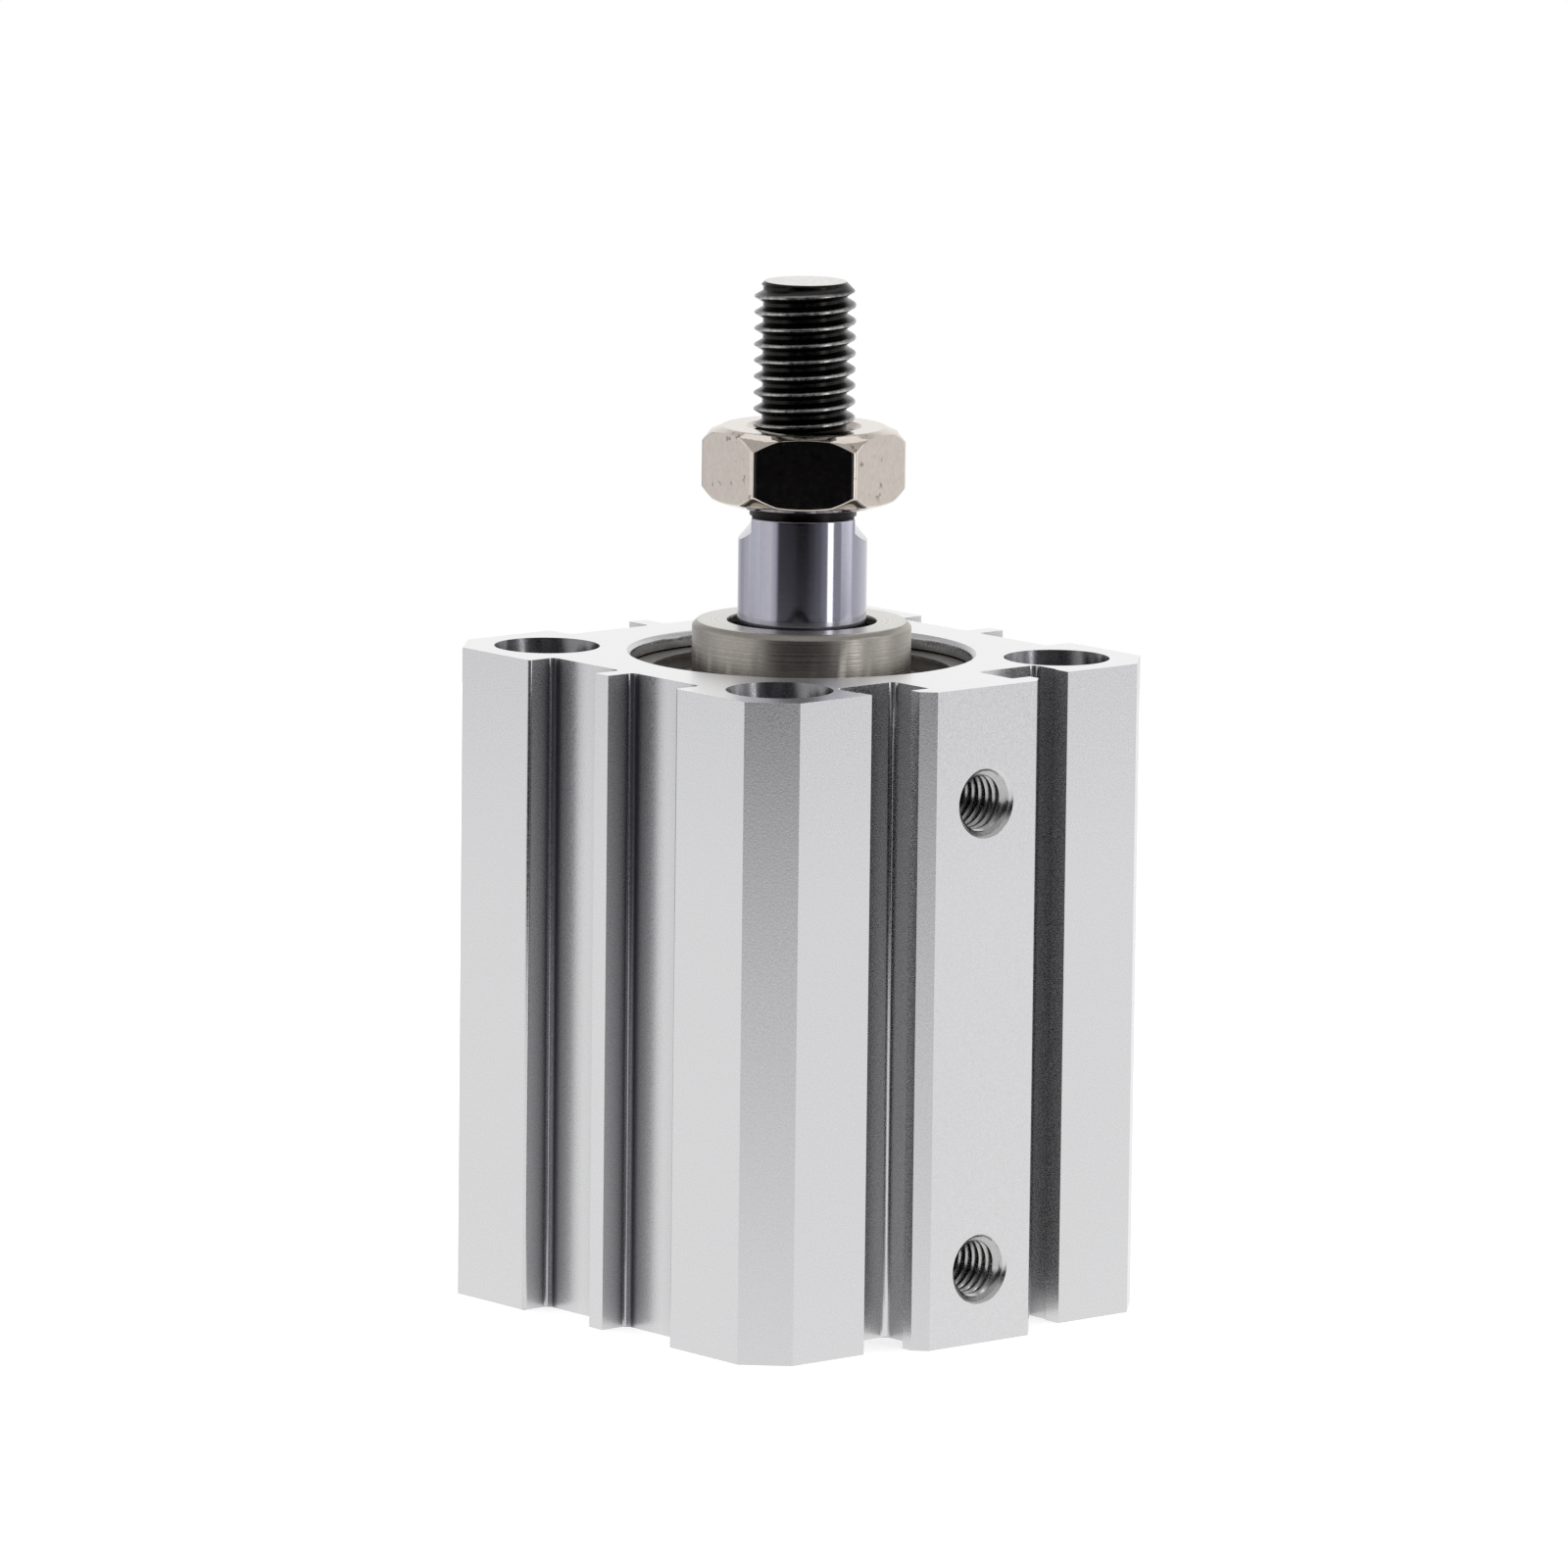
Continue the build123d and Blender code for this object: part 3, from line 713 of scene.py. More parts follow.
@dataclass(frozen=True)
class WornThread(Finish):
    """Black oxide on a rolled thread, rubbed bare along its crests, which are also
    lightened as a painted highlight.

    The end of the rod is faced after blackening, so it is bare steel.
    """

    # This colour is bare steel on the faced end, and on the worn crests, where it is also a
    # painted highlight.
    crest: str = "#DAD8D4"
    crest_radius_mm: float = 3.93
    crest_wear_and_highlight_depth_mm: float = 0.2
    end_margin_mm: float = 0.02

    def colour(self, tree: Tree, noise: Socket) -> Socket:
        """Lightens the black towards the crests, in patches of the grain: partly wear, and
        partly a painted highlight.

        Args:
            tree: node tree that gets the nodes.
            noise: the grain's value, from 0 to 1.

        Returns:
            The colour.
        """
        oxide = mix_colours(tree, noise, linear(self.dark), linear(self.light))
        axes = along_axes(tree)
        # Crests lightened: partly wear, and partly a painted highlight.
        crest_wear_and_highlight = add_node(
            tree,
            "ShaderNodeMapRange",
            inputs={
                "Value": from_rod_axis(tree, axes),
                "From Min": (self.crest_radius_mm - self.crest_wear_and_highlight_depth_mm) * MM,
                "From Max": self.crest_radius_mm * MM,
            },
        )
        patchy = add_node(
            tree,
            "ShaderNodeMath",
            {"operation": "MULTIPLY", "use_clamp": True},
            {0: crest_wear_and_highlight.outputs["Result"], 1: noise},
        )
        end = add_node(
            tree,
            "ShaderNodeMath",
            {"operation": "GREATER_THAN"},
            {0: axes["Z"], 1: (ROD_END - self.end_margin_mm) * MM},
        )
        bare = add_node(
            tree,
            "ShaderNodeMath",
            {"operation": "MAXIMUM"},
            {0: patchy.outputs[0], 1: end.outputs[0]},
        )
        return mix_colours(tree, bare.outputs[0], oxide, linear(self.crest))


@dataclass(frozen=True)
class SpeckledPlate(Finish):
    """Bright plating with small dull specks where the bath left marks."""

    speck: str = "#7C6A58"
    speck_size_mm: float = 0.9
    speck_share: float = 0.36
    speck_edge: float = 0.05
    speck_strength: float = 0.7

    def colour(self, tree: Tree, noise: Socket) -> Socket:
        """Adds the specks to the plating's own soft variation.

        Args:
            tree: node tree that gets the nodes.
            noise: the grain's value, from 0 to 1.

        Returns:
            The colour.
        """
        plate = mix_colours(tree, noise, linear(self.dark), linear(self.light))
        marks = Grain(self.speck_size_mm, detail=5.0).noise(tree)
        speck = add_node(
            tree,
            "ShaderNodeMapRange",
            inputs={
                "Value": marks,
                "From Min": self.speck_share,
                "From Max": self.speck_share - self.speck_edge,
                "To Min": 0.0,
                "To Max": self.speck_strength,
            },
        )
        return mix_colours(tree, speck.outputs["Result"], plate, linear(self.speck))


# Blasted with fine glass beads, then anodised: matt silver with a fine sparkle.
# Bead marks are near 0.05 mm, drawn at 0.16 mm so that they show.
ANODISED_EXTRUSION = AnodisedExtrusion(
    name="anodised_aluminium_blasted",
    light="#DADADA",
    dark="#C4C4C4",
    roughness=0.24,
    roughness_spread=0.06,
    grain=Grain(0.16, detail=3.0),
    height_mm=0.0032,
)
# Thread flanks and chamfers cut into the anodised barrel: bright cut metal.
CUT_ALUMINIUM = TurnedFinish(
    name="aluminium_cut_thread",
    light="#BEBEBC",
    dark="#A6A6A5",
    roughness=0.2,
    roughness_spread=0.06,
    grain=Grain(0.3),
    height_mm=0.002,
    ring_pitch_mm=0.1,
)
# Turned on a lathe and anodised: warm grey with fine rings round the axis.
TURNED_COVER = TurnedFinish(
    name="anodised_aluminium_turned",
    light="#ADA89F",
    dark="#96918A",
    roughness=0.34,
    roughness_spread=0.08,
    grain=Grain(0.25),
    height_mm=0.002,
    ring_pitch_mm=0.12,
    ring_height_mm=0.004,
    faced="#DEDCD6",
)
# Hard chromium plate, ground and polished: a cool mirror with faint grinding rings.
GROUND_CHROME = TurnedFinish(
    name="hard_chrome_ground",
    light="#B1B0BB",
    dark="#A9A8B3",
    roughness=0.1,
    roughness_spread=0.03,
    grain=Grain(0.5),
    height_mm=0.0004,
    ring_pitch_mm=0.05,
    ring_height_mm=0.0004,
)
# Bright nickel on steel: warm mirror, slightly uneven, with a few brown specks.
BRIGHT_NICKEL = SpeckledPlate(
    name="bright_nickel_plate",
    light="#DDD5CB",
    dark="#C6BCB1",
    roughness=0.07,
    roughness_spread=0.02,
    grain=Grain(0.5),
    height_mm=0.0015,
)
# Rolled thread in black oxide: nearly black, oily sheen, crests rubbed bare and lightened
# further as a painted highlight.
BLACK_OXIDE_THREAD = WornThread(
    name="black_oxide_rolled",
    light="#302F2E",
    dark="#161514",
    roughness=0.24,
    roughness_spread=0.08,
    grain=Grain(0.4, detail=4.0),
    height_mm=0.006,
)
# Black oxide on turned steel: dark grey with a dull sheen.
BLACK_OXIDE_SCREW = Finish(
    name="black_oxide_screw",
    light="#2E2D2C",
    dark="#1C1B1A",
    roughness=0.34,
    roughness_spread=0.06,
    grain=Grain(0.4),
    height_mm=0.004,
)
# Phosphated spring steel of the retaining rings: dark grey and satin.
PHOSPHATED_SPRING = Finish(
    name="phosphated_spring_steel",
    light="#6E6B66",
    dark="#55524E",
    roughness=0.4,
    roughness_spread=0.08,
    grain=Grain(0.2),
    height_mm=0.004,
)
# Sintered bronze with oil in its pores: dull brown gold.
SINTERED_BRONZE = Finish(
    name="sintered_bronze",
    light="#A98B5C",
    dark="#7E6540",
    roughness=0.48,
    roughness_spread=0.1,
    grain=Grain(0.15, detail=4.0),
    height_mm=0.01,
)
# Sintered magnet: dark grey, nearly matt.
SINTERED_MAGNET = Finish(
    name="sintered_magnet",
    light="#4A4A4C",
    dark="#38383A",
    metallic=0.7,
    roughness=0.55,
    roughness_spread=0.1,
    grain=Grain(0.2, detail=4.0),
    height_mm=0.008,
)
# Moulded nitrile rubber: black with a faint sheen from the mould.
NITRILE_RUBBER = Finish(
    name="nitrile_rubber_moulded",
    light="#1D1D1D",
    dark="#131313",
    metallic=0.0,
    roughness=0.52,
    roughness_spread=0.08,
    grain=Grain(0.2),
    height_mm=0.006,
    ior=1.52,
)
# Moulded polyurethane of the bumpers: amber and slightly waxy.
POLYURETHANE = Finish(
    name="polyurethane_moulded",
    light="#C9AE6A",
    dark="#BB9F5B",
    metallic=0.0,
    roughness=0.4,
    roughness_spread=0.06,
    grain=Grain(0.4),
    height_mm=0.004,
)
# Machined acetal of the guide ring: off-white and waxy.
WEAR_RING_PLASTIC = TurnedFinish(
    name="acetal_machined",
    light="#E4DECD",
    dark="#DAD3C0",
    metallic=0.0,
    roughness=0.4,
    roughness_spread=0.06,
    grain=Grain(0.3),
    height_mm=0.002,
    ior=1.48,
)


def dress(node: str, finish: Finish) -> None:
    """Gives a CAD node its finish.

    Args:
        node: name of the node in the frame.
        finish: the finish that all of its surface gets.
    """
    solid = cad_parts[node]
    solid.data.materials.clear()
    solid.data.materials.append(finish.material())
    LOG.info("dressed %s in %s", node, finish.name)


def ease_edges(node: str, width_mm: float, segments: int = 2) -> None:
    """Breaks the sharp edges of a CAD node, as deburring and blasting do.

    Args:
        node: name of the node in the frame.
        width_mm: width of the eased edge.
        segments: strips across the eased edge.
    """
    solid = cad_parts[node]
    weld = solid.modifiers.new("join_facets", "WELD")
    weld.merge_threshold = CAD_WELD_MM * MM
    flat = solid.modifiers.new("join_flats", "DECIMATE")
    flat.decimate_type = "DISSOLVE"
    flat.angle_limit = math.radians(FLAT_BELOW)
    bevel = solid.modifiers.new("eased_edges", "BEVEL")
    bevel.width = width_mm * MM
    bevel.segments = segments
    bevel.limit_method = "ANGLE"
    bevel.angle_limit = math.radians(EASED_ABOVE)
    bevel.harden_normals = True
    bevel.miter_outer = "MITER_ARC"


def new_piece(
    name: str, mesh: bmesh.types.BMesh, finish: Finish, body: Body
) -> bpy.types.Object:
    """Makes a visible piece from a finished mesh and puts it on its body.

    Args:
        name: the piece's name.
        mesh: its mesh in metres, in the frame's axes.
        finish: its finish.
        body: the body that it moves with.

    Returns:
        The new object.
    """
    bmesh.ops.recalc_face_normals(mesh, faces=mesh.faces)
    data = bpy.data.meshes.new(name)
    mesh.to_mesh(data)
    mesh.free()
    data.shade_smooth()
    data.set_sharp_from_angle(angle=math.radians(SHARP_ABOVE))
    data.materials.append(finish.material())
    piece = in_scene(name, data)
    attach(piece, body.value)
    LOG.info("built %s with %d faces", name, len(data.polygons))
    return piece


def swept_outline(
    outline_at: Callable[[float], Outline], columns: list[float], closed: bool = False
) -> bmesh.types.BMesh:
    """Sweeps an outline round the Z axis, where its shape may change with the angle.

    Args:
        outline_at: gives the (radius, height) points in millimetres at an angle.
        columns: angles in radians, in order, once round.
        closed: joins the outline's last point to its first one.

    Returns:
        The swept mesh in metres.
    """
    mesh = bmesh.new()
    rings = []
    for angle in columns:
        across, along = math.cos(angle) * MM, math.sin(angle) * MM
        rings.append(
            [
                mesh.verts.new((radius * across, radius * along, height * MM))
                for radius, height in outline_at(angle)
            ]
        )
    last = len(rings[0]) if closed else len(rings[0]) - 1
    for this, following in zip(rings, rings[1:] + rings[:1]):
        for i in range(last):
            j = (i + 1) % len(this)
            mesh.faces.new((this[i], following[i], following[j], this[j]))
    bmesh.ops.remove_doubles(mesh, verts=mesh.verts, dist=SWEEP_WELD_MM * MM)
    bmesh.ops.dissolve_degenerate(mesh, edges=mesh.edges, dist=SWEEP_WELD_MM * MM)
    return mesh


def even_columns(count: int) -> list[float]:
    """Returns evenly spaced angles once round, in radians."""
    return [2 * math.pi * i / count for i in range(count)]


@dataclass(frozen=True)
class ScrewThread:
    """A metric screw thread on the Z axis, as a helical surface.

    Lengths are in millimetres. The crest's flat is eased towards the flank, which
    then gets points at its own steps, down to a root that is a little rounded.
    """

    major_radius: float
    pitch: float
    depth: float
    flat_share: float
    columns: int = 96

    FLANK_SLOPE = math.sqrt(3)
    FLAT_KEPT = 0.7
    CREST_EASE = 0.02
    FLANK_STEPS = (0.33, 0.66, 0.92)
    ROOT_REACH = 1.06
    ROOT_WIDE_BELOW = 0.49
    SPARE_TURNS = 2

    def profile(self) -> Outline:
        """Returns (share of the pitch, depth) points, from mid crest to mid crest.

        Returns:
            The points of one turn.
        """
        run = self.depth / self.FLANK_SLOPE / self.pitch
        half = self.flat_share / 2
        shares = [0, half * self.FLAT_KEPT, half + self.CREST_EASE]
        depths = [0, 0.0, self.CREST_EASE * self.pitch * self.FLANK_SLOPE]
        for step in self.FLANK_STEPS:
            shares.append(half + run * step)
            depths.append(self.depth * step)
        shares.append(min(half + run * self.ROOT_REACH, 0.5))
        depths.append(self.depth)
        points = list(zip(shares, depths))
        mirrored = [(1 - share, depth) for share, depth in reversed(points[1:])]
        middle = [(0.5, self.depth)] if shares[-1] < self.ROOT_WIDE_BELOW else []
        return points + middle + mirrored

    def surface(
        self,
        bottom: float,
        top: float,
        crest_at: float,
        inward: bool,
        limit: Callable[[float], float],
    ) -> bmesh.types.BMesh:
        """Builds the helical surface between two heights, open at both ends.

        Args:
            bottom: lowest height in millimetres.
            top: highest height in millimetres.
            crest_at: height of a crest's middle at angle zero.
            inward: True where the ridges point at the axis, as in a tapped hole.
            limit: gives the radius that a chamfer allows at a height.

        Returns:
            The surface in metres.
        """
        profile = self.profile()
        turns_below = math.ceil((crest_at - bottom) / self.pitch) + self.SPARE_TURNS
        turns = math.ceil((top - bottom) / self.pitch) + 2 * self.SPARE_TURNS
        mesh = bmesh.new()
        grid = []
        for column in range(self.columns):
            share_round = column / self.columns
            angle = 2 * math.pi * share_round
            points = []
            for turn in range(turns):
                for share, depth in profile:
                    height = crest_at + self.pitch * (
                        turn - turns_below + share + share_round
                    )
                    if inward:
                        radius = max(self.major_radius - depth, limit(height))
                    else:
                        radius = min(self.major_radius - depth, limit(height))
                    place = (
                        radius * math.cos(angle) * MM,
                        radius * math.sin(angle) * MM,
                        height * MM,
                    )
                    points.append(mesh.verts.new(place))
            grid.append(points)
        rows = len(profile)
        for column in range(self.columns):
            this = grid[column]
            wraps = column + 1 == self.columns
            following = grid[0][rows:] if wraps else grid[column + 1]
            for i in range(min(len(this), len(following)) - 1):
                mesh.faces.new((this[i], following[i], following[i + 1], this[i + 1]))
        for height, side in ((bottom, -1), (top, 1)):
            bmesh.ops.bisect_plane(
                mesh,
                geom=[*mesh.verts, *mesh.edges, *mesh.faces],
                plane_co=(0, 0, height * MM),
                plane_no=(0, 0, side),
                clear_outer=True,
                dist=CUT_REACH_MM * MM,
            )
        return mesh


def open_loop(mesh: bmesh.types.BMesh, height: float) -> list[bmesh.types.BMEdge]:
    """Returns the open edges of a mesh that lie at a height in millimetres.

    Args:
        mesh: mesh with open ends, in metres.
        height: height of the end in millimetres.

    Returns:
        The end's open edges.
    """
    reach = END_REACH_MM * MM
    return [
        edge
        for edge in mesh.edges
        if edge.is_boundary
        and all(abs(v.co.z - height * MM) < reach for v in edge.verts)
    ]


def close_end(mesh: bmesh.types.BMesh, height: float) -> None:
    """Closes an open end with a flat face."""
    bmesh.ops.holes_fill(mesh, edges=open_loop(mesh, height), sides=0)


def wall_outside(
    mesh: bmesh.types.BMesh, bottom: float, top: float, radius: float
) -> None:
    """Closes a tapped surface with flat ends and a round wall behind it.

    Args:
        mesh: open helical surface in metres.
        bottom: height of its lower end in millimetres.
        top: height of its upper end in millimetres.
        radius: radius of the wall in millimetres.
    """
    for height in (bottom, top):
        edges = open_loop(mesh, height)
        made = bmesh.ops.extrude_edge_only(mesh, edges=edges)["geom"]
        for item in made:
            if isinstance(item, bmesh.types.BMVert):
                stretch = radius * MM / math.hypot(item.co.x, item.co.y)
                item.co.x *= stretch
                item.co.y *= stretch
    rims = [edge for edge in mesh.edges if edge.is_boundary]
    bmesh.ops.bridge_loops(mesh, edges=rims)


@dataclass(frozen=True)
class TappedHole:
    """One tapped hole: its thread, drawn as ridges on the drilled wall."""

    name: str
    thread: ScrewThread
    place: Matrix
    length: float

    WALL = 0.02
    COUNTERSINK_SLOPE = 1.0
    CREST_BELOW_MOUTH = 0.4

    def build(self) -> None:
        """Builds the thread from its mouth at height zero downwards."""
        major = self.thread.major_radius
        surface = self.thread.surface(
            bottom=-self.length,
            top=0.0,
            crest_at=-self.thread.pitch * self.CREST_BELOW_MOUTH,
            inward=True,
            limit=lambda height: min(major, major + height * self.COUNTERSINK_SLOPE),
        )
        wall_outside(surface, -self.length, 0.0, major + self.WALL)
        surface.transform(self.place)
        new_piece(self.name, surface, CUT_ALUMINIUM, Body.HOUSING)


@dataclass(frozen=True)
class Barrel:
    """Extruded barrel with its tapped ports and corner holes."""

    length: float = BARREL_LENGTH
    eased_edge: float = 0.12
    port_face: float = -PORT_SIDE
    port_heights: tuple[float, float] = (5.8, 42.0)
    port_thread_from: float = 0.25
    port_thread_length: float = 6.0
    hole_spacing: float = 28.0
    counterbore_depth: float = 5.5
    corner_thread_length: float = 9.4
    port_thread: ScrewThread = ScrewThread(
        major_radius=2.5, pitch=0.8, depth=0.433, flat_share=1 / 8, columns=72
    )
    corner_thread: ScrewThread = ScrewThread(
        major_radius=3.0, pitch=1.0, depth=0.541, flat_share=1 / 8, columns=72
    )

    def build(self) -> None:
        """Builds the threads of the ports and of the corner holes."""
        inward = Matrix.Rotation(math.pi / 2, 4, "X")
        for name, height in zip(("rear", "front"), self.port_heights):
            mouth = -(self.port_face - self.port_thread_from) * MM
            place = Matrix.Translation((0, mouth, height * MM)) @ inward
            TappedHole(
                f"{name}_port_thread", self.port_thread, place, self.port_thread_length
            ).build()
        half = self.hole_spacing / 2 * MM
        depth = self.counterbore_depth * MM
        flip = Matrix.Rotation(math.pi, 4, "X")
        for side, x in (("left", -half), ("right", half)):
            for row, y in (("port_side", -half), ("far_side", half)):
                top = Matrix.Translation((x, y, self.length * MM - depth))
                rear = Matrix.Translation((x, y, depth)) @ flip
                for end, place in (("front", top), ("rear", rear)):
                    TappedHole(
                        f"{end}_thread_{side}_{row}",
                        self.corner_thread,
                        place,
                        self.corner_thread_length,
                    ).build()

    def dress(self) -> None:
        """Gives the barrel its finish and eased edges."""
        dress("barrel", ANODISED_EXTRUSION)
        ease_edges("barrel", self.eased_edge)


@dataclass(frozen=True)
class Covers:
    """Both covers with their seals, bumpers, bush and retaining rings."""

    eased_edge: float = 0.08

    def dress(self) -> None:
        """Gives every piece of both covers its finish."""
        for node in ("front_cover", "rear_cover"):
            dress(node, TURNED_COVER)
            ease_edges(node, self.eased_edge)
        for node in ("front_circlip", "rear_circlip"):
            dress(node, PHOSPHATED_SPRING)
            ease_edges(node, self.eased_edge)
        for node in ("rod_seal", "front_cover_ring_seal", "rear_cover_ring_seal"):
            dress(node, NITRILE_RUBBER)
        for node in ("front_bumper", "rear_bumper"):
            dress(node, POLYURETHANE)
        dress("rod_bush", SINTERED_BRONZE)


@dataclass(frozen=True)
class Rod:
    """Piston rod: ground shaft with two wrench flats, and its rolled thread."""

    turn_degrees: float = -40.0
    back: float = ROD_BACK
    spigot_radius: float = 4.0
    spigot_top: float = 19.8
    radius: float = 5.0
    shoulder: float = 61.8
    end: float = ROD_END
    flat_distance: float = 4.0
    flats_length: float = 1.1
    flats_ramp: float = 0.9
    edge: float = 0.12
    collar_radius: float = 4.15
    collar_top: float = 62.6
    root_radius: float = 3.2
    thread_chamfer: float = 0.8
    crest_below_end: float = 1.2
    crest_angle: float = 139.8
    thread: ScrewThread = ScrewThread(
        major_radius=3.93, pitch=1.25, depth=0.66, flat_share=1 / 7, columns=128
    )

    RAMP_LAP = 0.004
    SUNK = 0.05
    ROUND_STEPS = 3
    COLLAR_EASE = 0.3
    SHAFT_COLUMNS = 180
    COLLAR_COLUMNS = 120
    LEAST_COSINE = 0.1

    def flat_reach(self, angle: float) -> float:
        """Returns how far the flats leave the shaft at an angle, in millimetres."""
        from_flat = math.cos(angle - math.radians(self.turn_degrees))
        return min(self.radius, self.flat_distance / max(abs(from_flat), self.LEAST_COSINE))

    def outline(self, angle: float) -> Outline:
        """Returns the shaft's outline at an angle, from its back to the shoulder.

        Args:
            angle: angle round Z in radians.

        Returns:
            (radius, height) points in millimetres.
        """
        reach = self.flat_reach(angle)
        flat_from = self.shoulder - self.flats_length
        share = (self.radius - reach) / (self.radius - self.flat_distance)
        ramp_from = flat_from - self.flats_ramp * share - self.RAMP_LAP
        points = [
            (0.0, self.back),
            (self.spigot_radius, self.back),
            (self.spigot_radius, self.spigot_top),
            (self.radius, self.spigot_top),
            (self.radius, ramp_from - self.edge),
            (self.radius, ramp_from),
            (reach, flat_from),
            (reach, flat_from + self.edge),
            (reach, self.shoulder - 2 * self.edge),
        ]
        for step in range(self.ROUND_STEPS + 1):
            swing = math.pi / 2 / self.ROUND_STEPS * step
            inset = self.edge * (1 - math.cos(swing))
            rise = self.edge * (1 - math.sin(swing))
            points.append((reach - inset, self.shoulder - rise))
        inner = reach - 2 * self.edge
        return points + [(inner, self.shoulder), (self.root_radius, self.shoulder)]

    def collar_outline(self, angle: float) -> Outline:
        """Returns the collar's outline: the blank where the thread has run out.

        Args:
            angle: angle round Z in radians; not used, as the collar is the same all round.

        Returns:
            (radius, height) points in millimetres.
        """
        low, high = self.shoulder - self.SUNK, self.collar_top
        outer, edge = self.collar_radius, self.edge
        return [
            (self.root_radius, low),
            (outer, low),
            (outer, high - edge),
            (outer - edge * self.COLLAR_EASE, high - edge * self.COLLAR_EASE),
            (outer - edge, high),
            (self.root_radius, high),
        ]

    def build_shaft(self) -> None:
        """Builds the ground shaft, with a column of points at each flat's edge."""
        columns = even_columns(self.SHAFT_COLUMNS)
        turn = math.radians(self.turn_degrees)
        corner = math.acos(self.flat_distance / self.radius)
        for side in (0, math.pi):
            for sign in (-1, 1):
                columns.append((turn + side + sign * corner) % (2 * math.pi))
        shaft = swept_outline(self.outline, sorted(columns))
        close_end(shaft, self.shoulder)
        shaft_piece = new_piece("rod_shaft", shaft, GROUND_CHROME, Body.ROD)
        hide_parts("piston_rod")

    def build_collar(self) -> None:
        """Builds the short collar between the shoulder and the thread."""
        columns = even_columns(self.COLLAR_COLUMNS)
        collar = swept_outline(self.collar_outline, columns, closed=True)
        collar_piece = new_piece(
            "rod_collar", collar, BLACK_OXIDE_SCREW, Body.ROD
        )
        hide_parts("piston_rod")

    def chamfered_radius(self, height: float) -> float:
        """Returns the largest radius of the thread at a height, by its end chamfer."""
        chamfer_foot = self.end - self.thread_chamfer
        return self.thread.major_radius - max(0.0, height - chamfer_foot)

    def build_thread(self) -> None:
        """Builds the rolled thread from inside the collar to the rod's end."""
        bottom = self.shoulder - self.SUNK
        crest_at = self.end - self.crest_below_end
        crest_at -= self.thread.pitch * self.crest_angle / 360
        thread = self.thread.surface(
            bottom=bottom,
            top=self.end,
            crest_at=crest_at,
            inward=False,
            limit=self.chamfered_radius,
        )
        close_end(thread, bottom)
        close_end(thread, self.end)
        thread_piece = new_piece(
            "rod_thread", thread, BLACK_OXIDE_THREAD, Body.ROD
        )
        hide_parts("piston_rod")

    def build(self) -> None:
        """Builds the shaft, collar and thread, which stand for the rod's solid."""
        self.build_shaft()
        self.build_collar()
        self.build_thread()


@dataclass(frozen=True)
class Piston:
    """Two-part piston with its seal, guide ring, magnet and screw."""

    def dress(self) -> None:
        """Gives every piece of the piston its finish."""
        for node in ("piston_front", "piston_rear"):
            dress(node, TURNED_COVER)
        for node in ("piston_seal", "magnet_washer", "piston_rod_ring_seal"):
            dress(node, NITRILE_RUBBER)
        dress("wear_ring", WEAR_RING_PLASTIC)
        dress("magnet_ring", SINTERED_MAGNET)
        dress("piston_screw", BLACK_OXIDE_SCREW)


